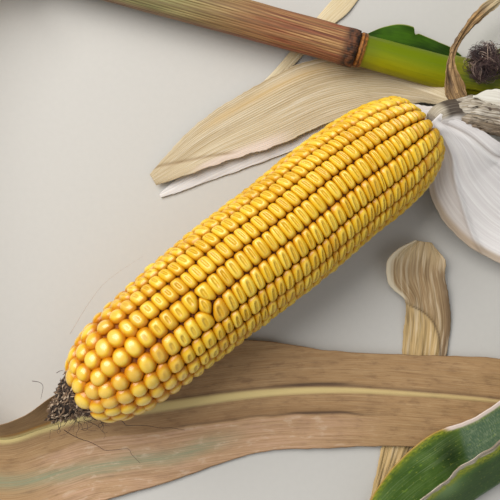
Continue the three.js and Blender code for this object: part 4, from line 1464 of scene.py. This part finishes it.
def white_husk_finish(look):
    finish, body, height = papery(
        "white husk", look.white, screen(244, 240, 236), look.shade, thread=0.9, length=60, veins=1.6,
        stain=0.2, seed=15.0, rough=0.55, fan=20.0
    )
    fold, share, crease = finish.fields("fold share crease")
    body = finish.layers(
        body,
        # Painted shade on the part past the fold
        (fold * 0.3, screen(176, 152, 126)),
        (share.between(0.78, 0.9) * 0.75, screen(168, 142, 108)),
        # Painted shadow along the creases
        (crease * 0.6, screen(128, 108, 92)),
    )
    return finish.finished(body, None, height, PAPER_BUMP)


def tan_crease(along, across):
    """The crease near the torn end of the outer husk."""
    return bump_at(across - 1.2 + (131.6 - along) * 0.38, 0, 0.8) * smooth(105, 112, along)


def tan_husk_shape(along, across, share):
    return -0.4 * tan_crease(along, across) * smooth(1.0, 0.8, np.abs(share))


def tan_husk_marks(along, across, share):
    """Where the outer husk is golden or pink, and its crease, which gets painted shade."""
    return {
        "gold": bump_at(share - 0.66, 0, 0.13) * window(along, 46, 64, 104, 122),
        "pink": smooth(-0.5, -0.8, share) * smooth(78, 94, along) * smooth(130, 120, along),
        "crease": tan_crease(along, across),
    }


def tan_husk_finish(look):
    finish, body, height = papery(
        "tan husk", look.tan, screen(214, 200, 172), screen(150, 124, 84), thread=0.45, length=44, veins=0.85,
        stain=0.55, seed=11.0, fan=13.0, lines=0.5
    )
    share, along, gold, pink, crease = finish.fields("share along gold pink crease")
    streak = finish.grain(share * 13, along / 46, 6, 4, 0.6)
    body = finish.layers(
        body,
        (streak.between(0.54, 0.7) * 0.45, screen(140, 116, 80)),
        (streak.between(0.46, 0.34) * 0.5, screen(216, 206, 186)),
        (gold * 0.4, screen(204, 166, 96)),
        (pink * 0.7, screen(224, 206, 196)),
        # Painted shade in the crease
        (crease * 0.55, screen(140, 112, 78)),
    )
    return finish.finished(body, None, height, PAPER_BUMP)


def curl_fold(along, share):
    return np.sin(share * 6.5 + along / 7)


def curl_shape(along, across, share):
    """Lengthwise folds of the curled strip, and the slit in its bulged foot."""
    folds = (0.4 * curl_fold(along, share) + 0.14 * np.sin(share * 17 - along / 5)) * smooth(0, 6, along)
    return folds - 0.8 * bump_at(along - 10, across + 0.9, 3.2, 0.7)


def curl_marks(along, across, share):
    """Where the curled strip gets painted shade in its folds and slit, and its pale end."""
    slit = bump_at(along - 10, across + 0.9, 3.4, 0.6)
    return {
        "dark": np.clip(slit + 0.45 * smooth(0.3, -0.9, curl_fold(along, share)), 0, 1),
        "cream": smooth(40, 52, along),
    }


def curl_finish(look):
    finish, body, height = papery(
        "brown husk", look.brown, screen(190, 152, 100), screen(70, 48, 30), thread=0.3, length=6, veins=0.6,
        stain=0.7, seed=19.0, lines=0.2
    )
    cream, dark = finish.fields("cream dark")
    body = finish.layers(
        body,
        (finish.speckle(900).between(0.56, 0.66) * 0.5, screen(84, 58, 34)),
        (cream * 0.8, screen(204, 186, 148)),
        # Painted shade in the folds and the slit
        (dark * 0.75, screen(50, 34, 22)),
    )
    return finish.finished(body, None, height, PAPER_BUMP)


def shank_body():
    """The short stem of the ripe ear, fibrous all round, with a painted shadow where it lies in the gap under
    the husks.
    """
    body = Body()
    t = np.linspace(0, 1, 101)
    angle = ring_angles(72)[None, :]
    along = along_limb(SHANK, t, angle)
    lift = 0.05 * waves(along / 9, angle * 5, 0.9, 40) + 0.16 * waves(along / 4, angle * 5, 3, 41)
    low = smooth(0.15, 0.6, np.sin(angle)) * smooth(15, 10, along)
    # Painted shadow: dark a little past the ear's foot, where the shank lies in the gap under the husks
    dark = window(along, 3.5, 6.5, 11, 15) * (1 - low)
    grid = limb_grid(SHANK, t, angle, lift)
    body.tube(grid, across=angle * 5 + 0 * along, along=along, dark=dark, low=low)
    return body


def shank_finish(look):
    finish, body, height = papery(
        "shank fibre", screen(158, 146, 124), screen(188, 178, 160), screen(70, 54, 40), thread=0.35,
        length=10, seed=27.0, stain=0.8
    )
    low, dark = finish.fields("low dark")
    body = finish.layers(
        body,
        (low * 0.85, look.white),
        # Painted shadow in the gap under the husks
        (dark * (0.68 + height.between(0.8, 0.4) * 0.25), screen(56, 42, 32)),
    )
    return finish.finished(body, None, height, 0.00015)


# Layers of the collar: start and end along the shank, middle and span round it, in radians
COLLAR_LAYERS = [(0.28, 0.6, 0.3, 3.4), (0.33, 0.66, 2.6, 3), (0.3, 0.64, 4.6, 3), (0.36, 0.62, -0.5, 2)]


def collar_body():
    """Wrinkled feet of the husks, one over the other round the shank."""
    body = Body()
    f = np.linspace(-1, 1, 56)[None, :]
    for layer, (start, end, middle, span) in enumerate(COLLAR_LAYERS):
        t = np.linspace(start, end, 54)
        along = along_limb(SHANK, t, f)
        angle = middle + f * span / 2 * (1 + 0.12 * waves(along, 0, 7, 60 + layer))
        lift = 0.75 + 0.22 * layer + 0.34 * waves(along / 3.5, angle * 6, 3.4, 43 + layer)
        lift = lift + 0.12 * waves(along / 2.5, angle * 6, 1.2, 53 + layer)
        lift = lift + 0.2 * waves(along, angle * 2, 6, 63)
        inside = along - along[0] + 1.6 * waves(angle * 5, 0, 3.1, 64 + layer)
        lift = -0.25 + (lift + 0.25) * smooth(-0.5, 4.5, inside)
        grid = limb_grid(SHANK, t, angle, lift)
        low = smooth(0.1, 0.9, np.sin(angle))
        body.sheet(grid[::-1], 0.35, across=angle[::-1] * 6, along=along[::-1], low=low[::-1])
    return body


def collar_finish(look):
    finish, body, height = papery(
        "stained husk", look.mould, screen(206, 198, 184), screen(84, 66, 50), thread=0.45, length=9,
        veins=1.1, stain=0.9, seed=31.0, rough=0.85
    )
    across, along, low = finish.fields("across along low")
    pits = finish.grain(across / 1.7, along / 4.5, 5)
    lines = finish.grain(across / 0.6, along / 16, 9)
    body = finish.layers(
        body,
        (low * 0.55, screen(132, 104, 74)),
        (pits.between(0.61, 0.68) * 0.85, screen(50, 36, 28)),
        (lines.between(0.54, 0.62) * 0.6, screen(78, 60, 46)),
    )
    return finish.finished(body, None, height + pits * 0.6, 0.0003)


class MAIZE_OT_husks(MakePiece, bpy.types.Operator):
    """Makes the shank of the ripe ear and the husks peeled back from it"""

    bl_idname = "maize.husks"
    bl_label = "Shank and husks"

    def execute(self, context):
        look = context.scene.maize_husk
        thick = look.thickness / MM
        tan = blade(HUSK_TAN, 150, 80, thick, veins=0.025, vein_pitch=1.5, ripple=0.3, ripple_size=22,
                    seed=21, ragged=0.35, crown=0.5, reshape=tan_husk_shape, paint=tan_husk_marks)
        make_piece("tan_husk", tan, tan_husk_finish(look), "tan_husk", "husk_tan")
        inner = blade(HUSK_INNER, 110, 40, thick, veins=0.02, vein_pitch=1.6, ripple=0.3, ripple_size=16,
                      seed=22, ragged=0.3)
        pale = finished_papery("inner husk", screen(206, 202, 200), screen(226, 222, 218), look.shade,
                               thread=0.7, length=50, veins=1.3, stain=0.35, seed=16.0, rough=0.6)
        make_piece("inner_husk", inner, pale, "white_husk", "husk_inner")
        white = blade(HUSK_WHITE, 126, 90, thick, ripple=0.6, ripple_size=20, seed=23, ragged=0.2,
                      reshape=white_husk_shape, paint=white_husk_marks)
        make_piece("white_husk", white, white_husk_finish(look), "white_husk", "husk_white")
        ribbon = blade(HUSK_RIBBON, 80, 20, thick, veins=0.03, vein_pitch=1.4, ripple=0.2, ripple_size=10,
                       seed=24)
        golden = finished_papery("ribbon husk", screen(206, 184, 140), screen(226, 212, 180),
                                 screen(164, 136, 88), thread=0.5, length=30, veins=1.1, seed=17.0)
        make_piece("narrow_husk", ribbon, golden, "ribbon_husk", "husk_ribbon")
        curl = blade(HUSK_CURL, 120, 44, thick, ripple=0.45, ripple_size=5, seed=25, ragged=0.35,
                     reshape=curl_shape, paint=curl_marks)
        make_piece("curled_strip", curl, curl_finish(look), "brown_husk", "husk_curl")

        def pointed(along, share):
            return 0.75 * smooth(6, 0, along) + 0.03 * waves(along, share, 4, 75)

        strip = blade(HUSK_CREAM, 90, 36, thick, ripple=0.4, ripple_size=8, seed=26, ragged=0.15,
                      trim=pointed)
        cream = finished_papery("cream husk", look.cream, screen(232, 228, 216), screen(160, 142, 112),
                                thread=0.6, length=30, veins=1.2, seed=21.0)
        make_piece("cream_strip", strip, cream, "cream_husk", "husk_cream")
        make_piece("ear_shank", shank_body(), shank_finish(look), "shank", "shank")
        make_piece("stained_collar", collar_body(), collar_finish(look), "stained_husk", "husk_collar")
        return {"FINISHED"}


# --- Second ear and silk ---


def second_ear_husks():
    """Husks wrapped one over the other round the second ear, and its core."""
    body = Body()
    f = np.linspace(-1, 1, 40)[None, :]
    for layer in range(6):
        t = np.linspace(1.0, 0.02 + 0.03 * layer, 56)
        reach = np.minimum(1, ((t - t[-1]) / 0.18) ** 0.7)[:, None]
        angle = layer * 1.9 + 0.4 + f * 1.9 * (0.12 + 0.88 * reach)
        along = along_limb(EAR_SECOND, t, angle)
        lift = -0.3 - 0.28 * layer + 0.1 * waves(along / 8, angle * 6, 6, 50 + layer)
        lift = np.maximum(lift, 0.8 - follow(EAR_SECOND, t)[:, 3:4])
        grid = limb_grid(EAR_SECOND, t, angle, lift)
        edge = np.abs(f) + 0 * angle
        body.sheet(grid[::-1], 0.25, across=angle[::-1] * 8, along=along[::-1], edge=edge)
    body.tube(limb_grid(EAR_SECOND, np.linspace(0.02, 1, 50), ring_angles(36), -2.0))
    return body


def second_ear_shank():
    body = Body()
    t = np.linspace(0, 1, 60)
    angle = ring_angles(48)[None, :]
    along = along_limb(SHANK_SECOND, t, angle)
    body.tube(limb_grid(SHANK_SECOND, t, angle), across=angle * 5 + 0 * along, along=along)
    return body


def silk_tuft(look):
    """A ball of silks, which run outwards in clumps and curl at their ends."""
    draw = np.random.default_rng(61)
    body = Body()
    middle = np.array(SILK_TUFT["centre"])
    limit = SILK_TUFT["radius"] + 1.0
    f = np.linspace(0, 1, 12)[:, None]
    for _ in range(look.clumps):
        way = unit(draw.normal(0, 1, 3))
        bend = unit(np.cross(way, draw.normal(0, 1, 3)))
        shade = draw.uniform(0, 1)
        swing = draw.uniform(0.4, 1.9)
        for _ in range(look.hairs):
            own = unit(way + draw.normal(0, 0.16, 3))
            reach = limit * draw.uniform(0.75, 1.05)
            angle = swing * draw.uniform(0.7, 1.3) * f**1.5
            path = (own * np.cos(angle) + bend * np.sin(angle)) * reach * f**0.7
            curl = draw.uniform(0.1, 0.5) * np.sin(draw.uniform(3, 9) * f + draw.uniform(0, 6.3)) * f
            path = path + np.cross(own, bend) * curl
            far = np.linalg.norm(path, axis=1, keepdims=True)
            line = middle + path * np.minimum(1, limit / np.maximum(far, 0.1))
            body.hair(line, look.hair / MM / 2, tone=np.clip(shade + draw.normal(0, 0.15), 0, 1))
    return body


def tip_silk(look):
    """Loose silks at the tip of the ripe ear."""
    draw = np.random.default_rng(67)
    body = Body()
    hair = look.hair / MM / 2
    for number, line in enumerate(TIP_SILKS):
        line = np.array(line, float)
        steps = np.linspace(0, 1, 6 * len(line))
        pale = number == len(TIP_SILKS) - 1
        body.hair(follow(line, steps), hair * (0.45 if pale else 1.1), tone=1.0 if pale else 0.35)
    for _ in range(look.tip_hairs):
        root = [draw.uniform(*span) for span in ((-6, 14), (-9.5, -6), (-7, -3))]
        way = draw.uniform(0, TURN)
        turns = way + np.cumsum(draw.normal(0, 0.75, 9))
        steps = np.stack([np.cos(turns), np.sin(turns), draw.normal(0, 0.25, 9)], 1) * draw.uniform(0.7, 1.6)
        line = np.array(EAR_TIP[1][:3]) + root + np.cumsum(steps, axis=0)
        body.hair(follow(line, np.linspace(0, 1, 26)), hair * 0.75, tone=draw.uniform(0, 0.6))
    return body


def silk_finish(look):
    finish = Finish("dried silk", Roughness=0.55)
    [tone] = finish.fields("tone")
    body = finish.layers(
        screen(44, 30, 30),
        (tone.between(0.05, 0.6), look.silk),
        (tone.between(0.86, 1.0) * 0.85, screen(190, 164, 144)),
    )
    return finish.finished(body)


class MAIZE_OT_second_ear(MakePiece, bpy.types.Operator):
    """Makes the second ear in its green husks, its silk and its shank"""

    bl_idname = "maize.second_ear"
    bl_label = "Second ear"

    def execute(self, context):
        husk = context.scene.maize_husk
        silk = context.scene.maize_silk
        green = fresh_finish("green husk", husk.wrap, screen(172, 178, 104), screen(98, 116, 44), 1.5)
        make_piece("second_ear_husks", second_ear_husks(), green, "green_husk", "ear_second")
        make_piece("second_ear_shank", second_ear_shank(), green, "green_husk", "shank_second")
        make_piece("second_ear_silk", silk_tuft(silk), silk_finish(silk), "dried_silk", "silk_second")
        make_piece("tip_silk", tip_silk(silk), silk_finish(silk), "dried_silk", "ear_tip")
        return {"FINISHED"}


# --- Stage ---

FLOOR_REACH = 1.6
# Lamps: name, place, size, share of the key light's strength, colour
LAMPS = [
    ("key", (-0.55, 0.42, 0.75), 0.8, 1.0, (1.0, 0.98, 0.95)),
    ("soft", (0.5, -0.5, 0.9), 1.0, 0.11, (0.95, 0.97, 1.0)),
]


class MAIZE_OT_stage(MakePiece, bpy.types.Operator):
    """Lays the floor and sets the light and the camera"""

    bl_idname = "maize.stage"
    bl_label = "Floor, light and camera"

    def execute(self, context):
        look = context.scene.maize_stage
        scene = context.scene
        corners = [(x, y, -ORIGIN[2] * MM) for x, y in ((-1, -1), (1, -1), (1, 1), (-1, 1))]
        mesh = bpy.data.meshes.new("floor")
        mesh.from_pydata([(x * FLOOR_REACH, y * FLOOR_REACH, z) for x, y, z in corners], [], [(0, 1, 2, 3)])
        floor = bpy.data.objects.new("floor", mesh)
        scene.collection.objects.link(floor)
        finish = Finish("plain floor", Roughness=0.8)
        shade = finish.mix(finish.speckle(400).between(0.3, 0.7) * 0.15, look.floor, screen(186, 183, 177))
        mesh.materials.append(finish.finished(shade))

        world = bpy.data.worlds.new("studio")
        world.use_nodes = True
        sky = world.node_tree.nodes["Background"].inputs
        sky["Color"].default_value = (0.96, 0.98, 1.0, 1.0)
        sky["Strength"].default_value = look.fill
        scene.world = world
        for name, place, spread, power, colour in LAMPS:
            lamp = bpy.data.lights.new(name, "AREA")
            lamp.energy = look.key * power
            lamp.size = spread
            lamp.color = colour
            light = bpy.data.objects.new(name, lamp)
            light.location = place
            light.rotation_mode = "QUATERNION"
            light.rotation_quaternion = Vector(place).to_track_quat("Z", "Y")
            scene.collection.objects.link(light)

        lens = bpy.data.cameras.new("camera")
        lens.lens = look.lens
        lens.sensor_width = 36
        camera = bpy.data.objects.new("camera", lens)
        camera.location = (-ORIGIN[0] * MM, -ORIGIN[1] * MM, look.height - ORIGIN[2] * MM)
        scene.collection.objects.link(camera)
        scene.camera = camera
        scene.view_settings.view_transform = "Standard"
        return {"FINISHED"}


# --- Panel and registering ---


class MAIZE_PT_panel(bpy.types.Panel):
    """Lists the pieces of the plant"""

    bl_idname = "MAIZE_PT_panel"
    bl_label = "Maize stalk"
    bl_space_type = "VIEW_3D"
    bl_region_type = "UI"
    bl_category = "Maize"

    def draw(self, context):
        for operator in OPERATORS:
            self.layout.operator(operator.bl_idname)
        for name, look in LOOKS.items():
            box = self.layout.box()
            box.label(text=look.__doc__)
            for prop in look.__annotations__:
                box.prop(getattr(context.scene, name), prop)


OPERATORS = [
    MAIZE_OT_ear,
    MAIZE_OT_stalk,
    MAIZE_OT_leaves,
    MAIZE_OT_husks,
    MAIZE_OT_second_ear,
    MAIZE_OT_stage,
]


def register():
    for cls in [*LOOKS.values(), *OPERATORS, MAIZE_PT_panel]:
        bpy.utils.register_class(cls)
    for name, look in LOOKS.items():
        setattr(bpy.types.Scene, name, PointerProperty(type=look))


def unregister():
    for name in LOOKS:
        delattr(bpy.types.Scene, name)
    for cls in [MAIZE_PT_panel, *reversed(OPERATORS), *reversed(list(LOOKS.values()))]:
        bpy.utils.unregister_class(cls)


def main():
    register()
    bpy.ops.maize.ear()
    bpy.ops.maize.stalk()
    bpy.ops.maize.leaves()
    bpy.ops.maize.husks()
    bpy.ops.maize.second_ear()
    bpy.ops.maize.stage()


if __name__ == "__main__":
    main()
